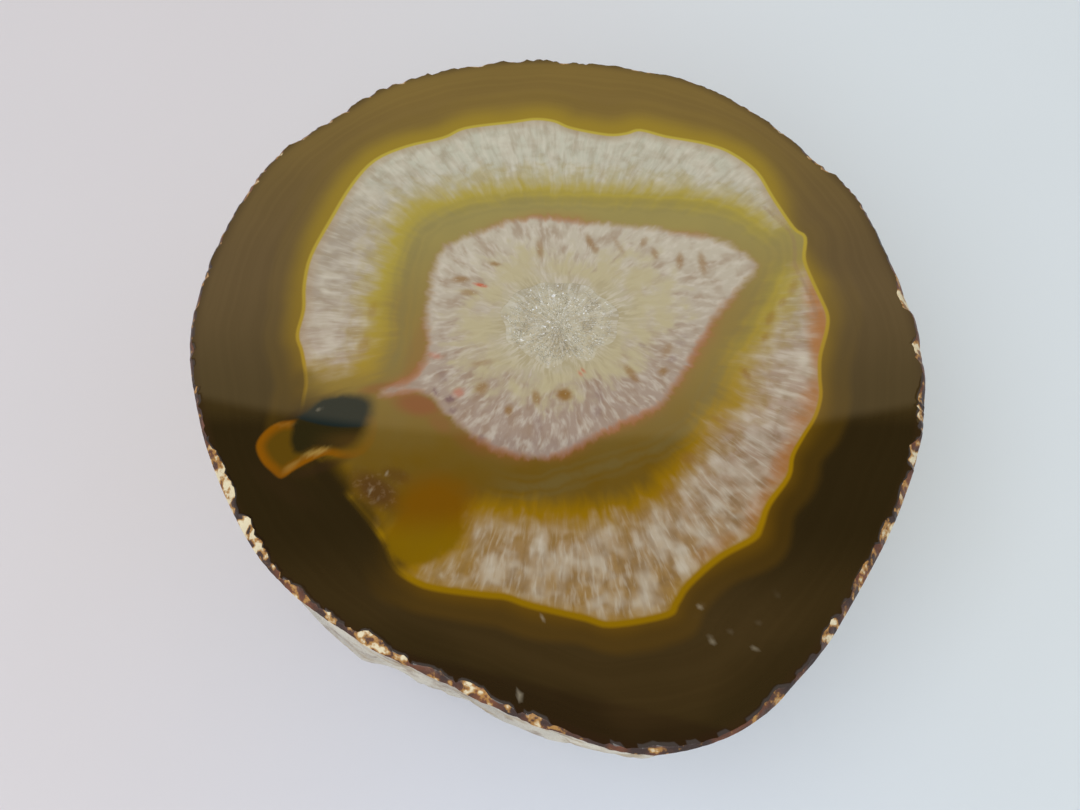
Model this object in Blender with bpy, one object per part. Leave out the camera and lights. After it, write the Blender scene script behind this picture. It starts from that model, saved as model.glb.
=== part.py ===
"""Half of an agate geode, sawn flat and polished, lying on its rounded underside.

The stone is one solid: a level polished face at the top, a chipped rim, a lumpy and pitted skin that
narrows downwards, and a small worn flat under the middle that it rests on. Its colour bands lie flush in
the polished face. A shallow pocket in the face holds the second solid, a crust of quartz crystals.

Origin: the middle of the rest spot. +Z is up, and +Y points to the far side of the polished face.
"""

import bisect
import math
import random

import bmesh
import bpy
from mathutils import Vector, noise

MM = 0.001

# Driving dimensions of the stone
FACE_HEIGHT = 62 * MM
FOOT_RADIUS = 15 * MM
FOOT_WOBBLE = 0.3
FOOT_WAVES = 1.7
RIM_OUTLINE = [
    (60.0, -3.5), (60.0, 6.0), (57.0, 20.0), (52.8, 33.5), (45.0, 43.8), (35.0, 54.0), (24.0, 60.8),
    (10.0, 64.3), (-5.0, 65.5), (-20.0, 63.0), (-30.0, 59.5), (-40.0, 51.6), (-50.0, 42.2),
    (-56.5, 28.0), (-59.7, 15.0), (-60.4, 4.0), (-57.5, -10.0), (-51.5, -25.0), (-43.0, -38.0),
    (-30.0, -48.2), (-15.0, -55.8), (0.0, -62.4), (12.0, -65.6), (25.0, -62.7), (35.0, -54.4),
    (45.5, -40.3), (53.0, -27.3), (58.3, -13.5),
]

# How fast the sides draw in below the rim. The stone is widest (lean - 1) face heights above its face, so
# the back goes down steeply, the front slopes in, and a strip at the front left slopes in less.
LEAN_BACK = 1.14
LEAN_FRONT = 1.84
LEAN_STRIP = 1.5
LEAN_CHANGE = 0.9
STRIP_TURN = math.radians(252)
STRIP_HALF_WIDTH = math.radians(34)
STRIP_FIRMNESS = 1.6

# Mesh density of the stone
SEGMENTS = 120
LEVELS = 24
RIM_LEVELS = (0.0, 0.014, 0.045, 0.085)
SHARP_ANGLE = math.radians(32)

# Rough rim: the polished face stops short of the silhouette by a chip's width
EDGE_INSET = 0.6 * MM
CHIP_WIDTH = 1.7 * MM
CHIP_DROP = 1.1 * MM
CHIP_SPACING = 5.5 * MM
CHIP_MIDDLE = 0.35
CHIP_CONTRAST = 1.3
LARGE_CHIP_TURNS = [math.radians(turn) for turn in (1, 11, 206, 213, 241, 258, 298, 310, 319, 328, 342)]
LARGE_CHIP_SPREAD = math.radians(3.2)
LARGE_CHIP_STRENGTH = 1.5

# Lumps of the skin, as (size of a lump, height of a lump)
LUMPS = ((30 * MM, 4.6 * MM), (13 * MM, 2.3 * MM), (6.5 * MM, 0.9 * MM))
LUMP_SHIFT = Vector((3.1, 7.7, 1.3))
LUMP_FADE = 0.1
OUTWARD_LIMIT = 3.4 * MM
OUTWARD_START = 0.03
OUTWARD_SPAN = 0.24
FOOT_SHARE = 0.35
FOOT_FADE = 4 * MM

# Pits of the skin, as (turn in degrees, level, width, depth)
PITS = (
    (18, 0.34, 8 * MM, 2.4 * MM), (47, 0.55, 6 * MM, 1.8 * MM), (80, 0.28, 7 * MM, 2.1 * MM),
    (115, 0.48, 9 * MM, 2.7 * MM), (150, 0.3, 6 * MM, 1.7 * MM), (196, 0.44, 8 * MM, 2.3 * MM),
    (232, 0.6, 6 * MM, 1.8 * MM), (263, 0.37, 7 * MM, 2.0 * MM), (300, 0.5, 9 * MM, 2.5 * MM),
    (338, 0.62, 6 * MM, 1.7 * MM),
)
PIT_FLOOR = 1.15

# Broken ledges that run round the skin, as (level, depth of the step)
LEDGES = ((0.3, 1.5 * MM), (0.52, 2.2 * MM))
LEDGE_WAVE = 0.12
LEDGE_WAVES = 2.2
LEDGE_BREAKS = 1.6
LEDGE_CONTRAST = 2
LEDGE_SOFTNESS = 0.035

# Driving dimensions of the pocket in the face
POCKET_CENTRE = Vector((0.5 * MM, 6.5 * MM, 0))
POCKET_HALF_X = 9.6 * MM
POCKET_HALF_Y = 8.0 * MM
POCKET_WOBBLE = 0.22
POCKET_WAVES = 2.3
POCKET_EDGE_DEPTH = 1.8 * MM
POCKET_DEPTH = 4.6 * MM
POCKET_FLARE = 1.12
CUTTER_RISE = 2 * MM
BALL_WAIST = 0.01
CUTTER_SEGMENTS = 40
CUTTER_RINGS = 10

# Driving dimensions of the crystal crust
CRUST_CLEARANCE = 0.32 * MM
CRUST_SIDE_GAP = 0.45 * MM
CRUST_THICKNESS = 0.4 * MM
CRUST_SEED = 7
CAP_ANGLE = math.radians(56)
CELL_JITTER = 0.34 * MM
CRYSTAL_INSET = 0.15 * MM
CRYSTAL_SHAFT = (0.25 * MM, 1.35 * MM)
CRYSTAL_TIP = (0.75 * MM, 1.4 * MM)
TIP_SHIFT = 0.35 * MM
EDGE_CRYSTAL_SCALE = 0.42
EDGE_CRYSTAL_START = 0.35
EDGE_CRYSTAL_SPAN = 0.5

# Colours, linear RGB
SKIN_COLOUR = (0.48, 0.42, 0.33, 1)
AGATE_COLOUR = (0.10, 0.065, 0.018, 1)
QUARTZ_COLOUR = (0.74, 0.68, 0.55, 1)


def start_clean():
    """Remove the objects of the open file."""
    for thing in list(bpy.data.objects):
        bpy.data.objects.remove(thing, do_unlink=True)


def new_collection(name):
    """A collection linked to the scene."""
    collection = bpy.data.collections.new(name)
    bpy.context.scene.collection.children.link(collection)
    return collection


def make_material(name, colour, roughness):
    """A Principled material with one colour and roughness."""
    material = bpy.data.materials.new(name)
    material.use_nodes = True
    shader = material.node_tree.nodes["Principled BSDF"]
    shader.inputs["Base Color"].default_value = colour
    shader.inputs["Roughness"].default_value = roughness
    shader.inputs["Metallic"].default_value = 0.0
    material.diffuse_color = colour
    return material


def to_object(bm, name, collection):
    """Turn a bmesh into an object of a collection."""
    mesh = bpy.data.meshes.new(name)
    bm.to_mesh(mesh)
    bm.free()
    thing = bpy.data.objects.new(name, mesh)
    collection.objects.link(thing)
    return thing


def smooth_step(value):
    """0 below 0, 1 above 1, and an even S between."""
    t = min(max(value, 0.0), 1.0)
    return t * t * (3 - 2 * t)


def turn_gap(a, b):
    """The smaller angle between two turns."""
    return abs((a - b + math.pi) % (2 * math.pi) - math.pi)


def polar_outline(points):
    """An outline's points as (turn, radius) about the middle, in order of turn."""
    return sorted((math.atan2(y, x) % (2 * math.pi), math.hypot(x, y) * MM) for x, y in points)


RIM_POLAR = polar_outline(RIM_OUTLINE)


def rim_radius(turn):
    """Radius of the rim's silhouette at a turn, on a closed smooth curve through its points."""
    count = len(RIM_POLAR)
    after = bisect.bisect(RIM_POLAR, (turn % (2 * math.pi), math.inf)) % count
    before = after - 1
    span = (RIM_POLAR[after][0] - RIM_POLAR[before][0]) % (2 * math.pi)
    t = ((turn - RIM_POLAR[before][0]) % (2 * math.pi)) / span
    r0, r1, r2, r3 = (RIM_POLAR[(before + k) % count][1] for k in (-1, 0, 1, 2))
    return 0.5 * (2 * r1 + (r2 - r0) * t + (2 * r0 - 5 * r1 + 4 * r2 - r3) * t ** 2
                  + (3 * r1 - r0 - 3 * r2 + r3) * t ** 3)


def direction(turn):
    """The level direction at a turn about the middle."""
    return Vector((math.cos(turn), math.sin(turn), 0))


def lean(turn):
    """How the side at this turn draws in: gently at the back, faster in front, upright at the strip."""
    front = smooth_step(0.5 - LEAN_CHANGE * math.sin(turn))
    lean_here = LEAN_BACK + (LEAN_FRONT - LEAN_BACK) * front
    upright = smooth_step(STRIP_FIRMNESS * (1 - turn_gap(turn, STRIP_TURN) / STRIP_HALF_WIDTH))
    return lean_here + (LEAN_STRIP - lean_here) * upright


def skin_level(step):
    """The level, from 0 at the rim to 1 at the foot, of a ring of the stone."""
    if step < len(RIM_LEVELS):
        return RIM_LEVELS[step]
    last = RIM_LEVELS[-1]
    return last + (1 - last) * (step - len(RIM_LEVELS) + 1) / (LEVELS - len(RIM_LEVELS) + 1)


def bowl_point(turn, level):
    """A point of the smooth bowl under the rim, with its outward direction."""
    here = lean(turn)
    start = math.asin((here - 1) / here)
    dip = start + (math.pi / 2 - start) * level
    foot = FOOT_RADIUS * (1 + FOOT_WOBBLE * noise.noise(direction(turn) * FOOT_WAVES))
    radius = foot + (rim_radius(turn) - foot) * math.cos(dip) / math.cos(start)
    point = direction(turn) * radius
    point.z = FACE_HEIGHT * (here - here * math.sin(dip))
    return point, direction(turn) * math.cos(dip) - Vector((0, 0, math.sin(dip)))


def skin_relief(turn, level, point):
    """How far the skin stands out of the smooth bowl: lumps, broken ledges that run round, and pits."""
    height = sum(amount * noise.noise(point / size + LUMP_SHIFT) for size, amount in LUMPS)
    for ledge_level, step in LEDGES:
        shift = LUMP_SHIFT * ledge_level
        edge = ledge_level + LEDGE_WAVE * noise.noise(direction(turn) * LEDGE_WAVES + shift)
        broken = smooth_step(0.5 + LEDGE_CONTRAST * noise.noise(direction(turn) * LEDGE_BREAKS + shift))
        height += step * broken * (smooth_step((edge - level) / LEDGE_SOFTNESS) - 0.5)
    for pit_turn, pit_level, width, depth in PITS:
        middle, _ = bowl_point(math.radians(pit_turn), pit_level)
        height -= depth * smooth_step(PIT_FLOOR - (point - middle).length / width)
    outward_limit = OUTWARD_LIMIT * smooth_step((level - OUTWARD_START) / OUTWARD_SPAN)
    fade = smooth_step(level / LUMP_FADE) * smooth_step(point.z / FOOT_FADE)
    return fade * min(height, outward_limit, FOOT_SHARE * point.z)


def chip_depth(turn):
    """How much is broken off the rim at this turn, from 0 to 1."""
    rough = CHIP_MIDDLE + CHIP_CONTRAST * noise.noise(direction(turn) * rim_radius(turn) / CHIP_SPACING)
    large = max(1 - turn_gap(turn, middle) / LARGE_CHIP_SPREAD for middle in LARGE_CHIP_TURNS)
    return smooth_step(max(rough, LARGE_CHIP_STRENGTH * large))


def skin_point(turn, step):
    """A vertex of the stone at a turn and ring: the polished edge, the chipped rim, or the skin."""
    if step == 0:
        edge = direction(turn) * (rim_radius(turn) - EDGE_INSET - CHIP_WIDTH * chip_depth(turn))
        return edge + Vector((0, 0, FACE_HEIGHT))
    if step == 1:
        drop = EDGE_INSET + CHIP_DROP * chip_depth(turn)
        return direction(turn) * rim_radius(turn) + Vector((0, 0, FACE_HEIGHT - drop))
    level = skin_level(step)
    point, outward = bowl_point(turn, level)
    return point + outward * skin_relief(turn, level, point)


def build_stone(collection, skin, face):
    """The nodule half: a drum with rings, each vertex moved to its place by turn and ring."""
    bm = bmesh.new()
    bmesh.ops.create_cone(bm, cap_ends=True, segments=SEGMENTS, radius1=1, radius2=1, depth=1)
    sides = [edge for edge in bm.edges if abs(edge.verts[0].co.z - edge.verts[1].co.z) > 0.5]
    bmesh.ops.subdivide_edges(bm, edges=sides, cuts=LEVELS - 1)
    for vert in bm.verts:
        turn = math.atan2(vert.co.y, vert.co.x)
        vert.co = skin_point(turn, round((0.5 - vert.co.z) * LEVELS))
    for polygon in bm.faces:
        polygon.material_index = int(polygon.calc_center_median().z > FACE_HEIGHT - EDGE_INSET / 2)
    bmesh.ops.recalc_face_normals(bm, faces=bm.faces)
    stone = to_object(bm, "agate_nodule", collection)
    stone.data.materials.append(skin)
    stone.data.materials.append(face)
    stone.data.shade_smooth()
    stone.data.set_sharp_from_angle(angle=SHARP_ANGLE)
    return stone


def pocket_radius(turn):
    """Radius of the pocket's edge about the pocket's middle: an uneven oval seen from above."""
    oval = math.hypot(POCKET_HALF_X * math.cos(turn), POCKET_HALF_Y * math.sin(turn))
    return oval * (1 + POCKET_WOBBLE * noise.noise(direction(turn) * POCKET_WAVES))


def pocket_depth(reach):
    """Depth of the pocket's floor below the face, from its middle (0) to its edge (1)."""
    return POCKET_EDGE_DEPTH + (POCKET_DEPTH - POCKET_EDGE_DEPTH) * (1 - reach ** 2)


def pocket_point(turn, radius, height):
    """A point at a turn and radius about the pocket's middle."""
    return POCKET_CENTRE + direction(turn) * radius + Vector((0, 0, height))


def build_pocket_cutter(collection):
    """The solid that cuts the pocket: a ball whose lower half is pressed into the pocket's floor."""
    bm = bmesh.new()
    bmesh.ops.create_uvsphere(bm, u_segments=CUTTER_SEGMENTS, v_segments=CUTTER_RINGS, radius=1)
    for vert in bm.verts:
        turn = math.atan2(vert.co.y, vert.co.x)
        reach = min(vert.co.xy.length, 1.0)
        radius = pocket_radius(turn) * reach
        if vert.co.z > BALL_WAIST:
            vert.co = pocket_point(turn, radius * POCKET_FLARE, FACE_HEIGHT + CUTTER_RISE)
        else:
            vert.co = pocket_point(turn, radius, FACE_HEIGHT - pocket_depth(reach))
    bmesh.ops.recalc_face_normals(bm, faces=bm.faces)
    cutter = to_object(bm, "pocket_cutter", collection)
    cutter.hide_render = True
    cutter.display_type = "WIRE"
    return cutter


def cut_pocket(stone, cutter):
    """Take the pocket out of the stone."""
    cut = stone.modifiers.new("druse pocket", "BOOLEAN")
    cut.operation = "DIFFERENCE"
    cut.solver = "EXACT"
    cut.object = cutter


def crystal_sheet(rng):
    """A thin closed sheet of six-sided cells over the pocket's floor, and its upper faces.

    The cells are those of a ball with its corners cut off. Its cap is pressed onto the pocket's floor.
    """
    bm = bmesh.new()
    bmesh.ops.create_icosphere(bm, subdivisions=3, radius=1)
    bmesh.ops.bevel(bm, geom=bm.verts[:], offset=100 / 3, offset_type="PERCENT", segments=1,
                    affect="VERTICES", profile=0.5, material=-1)
    outside = [f for f in bm.faces if f.calc_center_median().normalized().z > -math.cos(CAP_ANGLE)]
    bmesh.ops.delete(bm, geom=outside, context="FACES")
    widest = max(math.acos(-vert.co.normalized().z) for vert in bm.verts)
    for vert in bm.verts:
        turn = math.atan2(vert.co.y, vert.co.x)
        reach = math.acos(-vert.co.normalized().z) / widest
        jitter = CELL_JITTER * (1 - reach)
        radius = (pocket_radius(turn) - CRUST_SIDE_GAP) * reach + rng.uniform(-jitter, jitter)
        height = FACE_HEIGHT - pocket_depth(reach) + CRUST_CLEARANCE
        turn += rng.uniform(-jitter, jitter) / max(radius, CELL_JITTER)
        vert.co = pocket_point(turn, radius, height)
    raised = bmesh.ops.extrude_face_region(bm, geom=bm.faces[:])["geom"]
    upper = [item for item in raised if isinstance(item, bmesh.types.BMFace)]
    bmesh.ops.translate(bm, verts=[item for item in raised if isinstance(item, bmesh.types.BMVert)],
                        vec=(0, 0, CRUST_THICKNESS))
    bmesh.ops.recalc_face_normals(bm, faces=bm.faces)
    return bm, upper


def grow_crystal(bm, base, rng):
    """Raise one cell of the crust into a shaft with a pointed tip, shorter towards the pocket's edge."""
    middle = base.calc_center_median() - POCKET_CENTRE
    reach = middle.xy.length / pocket_radius(math.atan2(middle.y, middle.x))
    scale = 1 - (1 - EDGE_CRYSTAL_SCALE) * smooth_step((reach - EDGE_CRYSTAL_START) / EDGE_CRYSTAL_SPAN)
    shaft = scale * rng.uniform(*CRYSTAL_SHAFT)
    tip = scale * rng.uniform(*CRYSTAL_TIP)
    bmesh.ops.inset_individual(bm, faces=[base], thickness=CRYSTAL_INSET, depth=shaft)
    peak = bmesh.ops.poke(bm, faces=[base], offset=tip)["verts"][0]
    peak.co += direction(rng.uniform(0, 2 * math.pi)) * rng.uniform(0, TIP_SHIFT)


def build_crust(collection, quartz):
    """The druse: crystals grown together over a thin sheet, in one closed solid."""
    rng = random.Random(CRUST_SEED)
    bm, cells = crystal_sheet(rng)
    for cell in cells:
        grow_crystal(bm, cell, rng)
    crust = to_object(bm, "crystal_crust", collection)
    crust.data.materials.append(quartz)


def build_geode():
    """Build the stone with its pocket, and the crust of crystals in it."""
    start_clean()
    parts = new_collection("geode")
    cutters = new_collection("cutters")
    skin = make_material("weathered skin", SKIN_COLOUR, 0.8)
    face = make_material("polished agate", AGATE_COLOUR, 0.12)
    quartz = make_material("quartz crystal", QUARTZ_COLOUR, 0.2)
    stone = build_stone(parts, skin, face)
    cut_pocket(stone, build_pocket_cutter(cutters))
    build_crust(parts, quartz)


build_geode()
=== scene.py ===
"""Looks of a polished agate geode half: its banded face, chipped rim, weathered skin and crystal druse."""

import logging
import math
import random
from dataclasses import dataclass, field
from enum import Enum
from functools import cached_property

import bmesh
import bpy
import numpy as np
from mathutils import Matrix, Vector, noise


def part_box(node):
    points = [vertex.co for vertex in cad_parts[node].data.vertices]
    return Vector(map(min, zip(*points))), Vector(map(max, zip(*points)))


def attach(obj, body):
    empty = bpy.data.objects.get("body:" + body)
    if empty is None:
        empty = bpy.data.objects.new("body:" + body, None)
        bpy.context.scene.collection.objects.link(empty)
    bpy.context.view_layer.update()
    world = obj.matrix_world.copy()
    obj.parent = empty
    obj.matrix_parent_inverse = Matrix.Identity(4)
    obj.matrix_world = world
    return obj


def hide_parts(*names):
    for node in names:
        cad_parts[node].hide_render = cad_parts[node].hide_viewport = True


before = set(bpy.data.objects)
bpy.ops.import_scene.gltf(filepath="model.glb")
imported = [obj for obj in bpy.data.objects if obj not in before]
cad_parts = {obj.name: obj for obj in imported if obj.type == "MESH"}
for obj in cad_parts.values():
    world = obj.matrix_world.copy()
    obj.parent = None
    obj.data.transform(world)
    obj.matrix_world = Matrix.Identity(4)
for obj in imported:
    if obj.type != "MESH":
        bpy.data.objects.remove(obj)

LOG = logging.getLogger("geode")
MM = 0.001
TAU = 2 * math.pi
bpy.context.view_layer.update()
FACE_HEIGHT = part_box("agate_nodule")[1][2] / MM
BODY = "root"
FIBRES = "radial fibres"
MOTTLE = "mottle"

Colour = tuple[float, float, float]
Points = tuple[tuple[float, float], ...]
Socket = bpy.types.NodeSocket


class Part(Enum):
    """The stretches of the stone's section, from the middle of the pocket round to the foot."""

    POCKET = 0
    FACE = 1
    RIM = 2
    SKIN = 3


def smooth(value: np.ndarray, low: float, high: float) -> np.ndarray:
    """Rise from 0 at low to 1 at high with an even S.

    Args:
        value: The values to map.
        low: Where the rise starts.
        high: Where the rise ends.

    Returns:
        The mapped values.
    """
    t = np.clip((np.asarray(value, float) - low) / (high - low), 0, 1)
    return t * t * (3 - 2 * t)


def noise_at(spots: np.ndarray, size: float, shift: float = 0.0) -> np.ndarray:
    """Perlin noise at many spots.

    Args:
        spots: An array of x, y, z rows.
        size: Size of one feature, in the units of the spots.
        shift: Moves the pattern, so that two uses differ.

    Returns:
        One value between -1 and 1 for each spot.
    """
    scaled = np.asarray(spots, float) / size + shift
    return np.array([noise.noise(Vector(spot)) for spot in scaled.tolist()])


def level_ways(turns: np.ndarray) -> np.ndarray:
    """The level direction at each turn, as x, y, z rows."""
    return np.stack([np.cos(turns), np.sin(turns), 0 * turns], axis=-1)


def turn_gap(turns: np.ndarray, middle: object) -> np.ndarray:
    """Angle between each turn and a middle one, the short way round."""
    return np.abs((turns - middle + math.pi) % TAU - math.pi)


def along_curve(knots: list[np.ndarray], t: np.ndarray) -> np.ndarray:
    """Follow a smooth curve from one knot to the next.

    Args:
        knots: The knot before, the two knots, and the knot after.
        t: How far along, from 0 to 1.

    Returns:
        The places on the curve.
    """
    p0, p1, p2, p3 = knots
    return (2 * p1 + (p2 - p0) * t + (2 * p0 - 5 * p1 + 4 * p2 - p3) * t ** 2
            + (3 * p1 - p0 - 3 * p2 + p3) * t ** 3) / 2


@dataclass(frozen=True)
class Outline:
    """A line on the polished face through a few points in millimetres, joined by a smooth curve.

    Attributes:
        points: The points, with x to the right and y to the far side.
        closed: Whether the last point joins the first.
    """

    points: Points
    closed: bool = True

    def curve(self, per_span: int = 4) -> np.ndarray:
        """Points along the smooth curve.

        Args:
            per_span: Steps between two given points.

        Returns:
            An array of x, y rows in millimetres.
        """
        knots = np.array(self.points, float)
        if not self.closed:
            knots = np.vstack([2 * knots[0] - knots[1], knots, 2 * knots[-1] - knots[-2]])
        rows = [np.roll(knots, -shift, axis=0) for shift in (-1, 0, 1, 2)]
        spans = len(knots) if self.closed else len(knots) - 3
        if not self.closed:
            rows = [np.roll(row, -1, axis=0) for row in rows]
        t = (np.arange(per_span) / per_span)[None, :, None]
        line = along_curve([row[:spans, None, :] for row in rows], t).reshape(-1, 2)
        return line if self.closed else np.vstack([line, knots[-2]])

    def distance(self, spots: np.ndarray) -> np.ndarray:
        """Distance of each spot from the curve.

        Args:
            spots: An array of x, y rows in millimetres.

        Returns:
            Millimetres from the curve, negative inside a closed one.
        """
        starts = self.curve()
        ends = np.roll(starts, -1, axis=0)
        if not self.closed:
            starts, ends = starts[:-1], ends[:-1]
        nearest = np.full(len(spots), np.inf)
        inside = np.zeros(len(spots), bool)
        for start, end in zip(starts, ends):
            way = end - start
            gap = spots - start
            along = np.clip(gap @ way / max(way @ way, 1e-9), 0, 1)
            gap = gap - along[:, None] * way
            nearest = np.minimum(nearest, np.einsum("ij,ij->i", gap, gap))
            if self.closed and start[1] != end[1]:
                crosses = (start[1] > spots[:, 1]) != (end[1] > spots[:, 1])
                meets = start[0] + (spots[:, 1] - start[1]) * way[0] / way[1]
                inside ^= crosses & (spots[:, 0] < meets)
        return np.sqrt(nearest) * np.where(inside, -1, 1)


@dataclass(frozen=True)
class Spot:
    """A soft oval patch on the polished face, in millimetres.

    Attributes:
        x: Middle, to the right.
        y: Middle, to the far side.
        long: Half length.
        wide: Half width.
        turn: Turn of the long axis in degrees.
        strength: Peak of the patch, from 0 to 1.
    """

    x: float
    y: float
    long: float
    wide: float
    turn: float = 0.0
    strength: float = 1.0

    def mask(self, spots: np.ndarray) -> np.ndarray:
        """How strongly the patch covers each spot, from 0 to 1."""
        turn = math.radians(self.turn)
        gap = spots - (self.x, self.y)
        along = (gap @ (math.cos(turn), math.sin(turn))) / self.long
        across = (gap @ (-math.sin(turn), math.cos(turn))) / self.wide
        return self.strength * (1 - smooth(np.hypot(along, across), 0.35, 1.15))


def patches(*rows: tuple[float, ...]) -> tuple[Spot, ...]:
    """Several soft patches from rows of their values."""
    return tuple(Spot(*row) for row in rows)


@dataclass(frozen=True)
class FacePattern:
    """Where the bands and marks of the polished face lie, as outlines and soft patches in millimetres."""

    yellow_line: Outline = Outline((
        (43.2, 0), (44.8, 5), (45.2, 8), (44.5, 11), (43.2, 15.5), (42.4, 19.5), (43.0, 24), (41.2, 26),
        (38.2, 32.5), (35.7, 38.5), (31.5, 42.7), (28, 44.5), (24.5, 45.5), (20, 46.5), (15.5, 48),
        (13, 47.2), (9.5, 46.9), (3, 48.5), (0, 50.1), (-3.5, 50.6), (-7.5, 49.9), (-16, 48.5),
        (-20, 46.2), (-26.5, 44.2), (-32, 41), (-35.7, 35.5), (-39, 27.5), (-41.7, 20), (-42.3, 14),
        (-42.0, 9), (-42.6, 4), (-41.5, 0.5), (-40.4, -5), (-40.6, -9), (-40.5, -15), (-36.5, -20),
        (-33, -24.5), (-28, -30.5), (-26, -33.5), (-24.5, -37), (-22, -39.2), (-18.5, -40.7),
        (-11, -41.8), (-7.5, -42.2), (-4, -43.5), (4, -45.5), (8, -46.5), (16, -45), (17.5, -43.2),
        (19.5, -40.2), (24.5, -35.7), (29.7, -32.7), (31, -30.7), (32.5, -27), (36, -22.2),
        (37, -18.5), (39, -15), (41.2, -11.5), (42.5, -7.7), (42.7, -4),
    ))
    olive_zone: Outline = Outline((
        (45, 27), (39, 26.3), (37, 27), (34, 30), (30, 32), (25, 33.2), (20, 34.2), (10, 34.5),
        (0, 35.5), (-5, 35.7), (-10, 35), (-20, 32.7), (-26, 30), (-28.5, 23), (-30, 16),
        (-31.2, 10), (-30.5, 5), (-31.5, 0), (-33, -3), (-37.5, -3.7), (-41, -2.5), (-45, -3),
        (-45, -12), (-41, -18), (-37, -21), (-34.5, -24), (-31.5, -28.5), (-27.5, -33), (-25.5, -37.5),
        (-22, -38.2), (-18.5, -36.3), (-15.2, -35), (-14.3, -32), (-13.2, -29.7), (-10, -29),
        (0, -30), (10, -29), (13.5, -27.5), (17, -25.5), (18.5, -23), (22, -19), (24, -15.5),
        (26, -12), (29.5, -9), (30, -5), (31, -0.5), (33.5, 2.5), (37.5, 9.5), (39, 12.5),
        (40, 15.5), (41.5, 17.5), (46, 19),
    ))
    olive_middle: Outline = Outline((
        (-31, -5.5), (-26, 0), (-25.5, 10), (-24.8, 18), (-23, 24.5), (-18, 29), (-10, 31.5),
        (0, 32.2), (10, 32), (20, 31.5), (27, 30.6), (32, 28), (37.2, 23.5), (38.4, 20), (37.3, 16),
        (35, 11.5), (32.5, 6.5), (30, 2), (27, -2.5), (24.5, -8), (21, -13.5), (15, -17.5), (9, -20),
        (3, -21.8), (-3, -24), (-10, -23), (-16, -19.5),
    ), closed=False)
    inner_line: Outline = Outline((
        (36.5, 30.5), (39, 27.3), (40.8, 24.5), (41, 21), (40.7, 18.5), (41.5, 15.5), (42.8, 11.5),
        (43.4, 8),
    ), closed=False)
    plain_olive: tuple[Spot, ...] = patches((40.5, 22, 7, 5.5, 90, 0.85), (-37, -6, 9, 5, 0, 0.6))
    core_edge: Outline = Outline((
        (25, 4.3), (26, 7), (28.5, 10), (32, 14.5), (34, 17), (33.5, 19.5), (31, 21.5), (28, 23.5),
        (21, 25), (17, 26), (7, 27), (2.5, 27.7), (-3, 28.2), (-7.5, 27.5), (-11, 26), (-17.5, 23),
        (-19.7, 20.5), (-20.7, 17), (-21.2, 12.5), (-21.6, 8.5), (-21, 1), (-21.8, -1.8),
        (-24, -4.8), (-28, -6.4), (-27.5, -7.6), (-23, -6.8), (-20, -8), (-18.5, -10), (-16, -12.5),
        (-13.5, -14.8), (-10.5, -16.8), (-7, -18.2), (-2.5, -18.9), (1.5, -18.0), (6.5, -14.8),
        (14, -11), (16.5, -9.5), (20, -4.5), (22, -1), (23.5, 2),
    ))
    cream_ring: Outline = Outline((
        (-16.5, 3), (-16, 10), (-12.5, 15), (-11.5, 19.5), (-5, 21.5), (1, 20), (6, 19), (12, 21.5),
        (17, 19), (20, 14), (21, 9), (18.5, 4), (15.5, 0.5), (12, -3), (6, -5.5), (2.5, -8.5),
        (-3, -9.5), (-8, -7), (-12, -8), (-15, -3),
    ))
    druse_zone: Outline = Outline((
        (-9.5, 1), (-9.8, 6), (-9, 11), (-5.5, 14.5), (0, 15.2), (5, 13.8), (10, 13.5), (13, 10.5),
        (12, 6), (9.5, 2), (6, -1.5), (1, -3.5), (-5, -3.5),
    ))
    tube: Outline = Outline((
        (-42, -12.2), (-40, -10), (-37.5, -8.1), (-34, -7.3), (-30.5, -7.5), (-29, -9.2),
        (-29.4, -12), (-30.3, -14.5), (-32, -16.7), (-35.5, -17.4), (-38, -17.1), (-40.2, -18.3),
        (-41.6, -17.8), (-42.1, -15),
    ))
    hook: Outline = Outline((
        (-41.5, -12), (-43.5, -12.3), (-45.3, -13.2), (-46.8, -15), (-47.3, -17), (-46.2, -19.5),
        (-44.5, -21.3), (-42.8, -22.5), (-41, -21.1), (-38.5, -19.5), (-36, -18.4), (-33.5, -19),
        (-31, -18.6), (-29, -16.5), (-28.4, -13), (-30, -11), (-36, -10.5),
    ))
    gold_patch: Outline = Outline((
        (-25, -29), (-24.8, -25), (-22.5, -22.3), (-19, -21.3), (-14.5, -22.3), (-11.5, -25.5),
        (-13, -28.5), (-14.1, -31.5), (-14.8, -34), (-17.5, -35.6), (-20.5, -37), (-24, -36.5),
        (-25.8, -34), (-26, -31.5),
    ))
    line_gaps: tuple[Spot, ...] = patches(
        (-38.5, -14, 11, 7.5, 90), (-35, -22.5, 7.5, 5, -50), (-30, -28.5, 6, 3.6, -48, 0.9),
        (-25, -35.5, 4.6, 3.2, -60, 0.85), (-40.5, -5, 3.4, 3, 90, 0.55),
    )
    plain_ribbon: tuple[Spot, ...] = patches((-14, -20.5, 9, 6, -30), (-30, -5, 6, 6))
    dull_glow: tuple[Spot, ...] = patches(
        (45.5, 25, 13, 5.5, 108, 0.85), (47, 8, 9, 4, 90, 0.4), (-35, -30, 19, 11, -48))
    shadows: tuple[Spot, ...] = patches(
        (-37, -20.6, 5.5, 1.2, 22, 0.8), (-41.5, -11, 3.6, 0.8, 38, 0.6), (-37, -7.6, 4.5, 0.6, 22, 0.35),
        (-42.5, -24, 8, 2.2, -35, 0.35), (-38, -17, 2.6, 0.6, 20, 0.5),
    )
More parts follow.
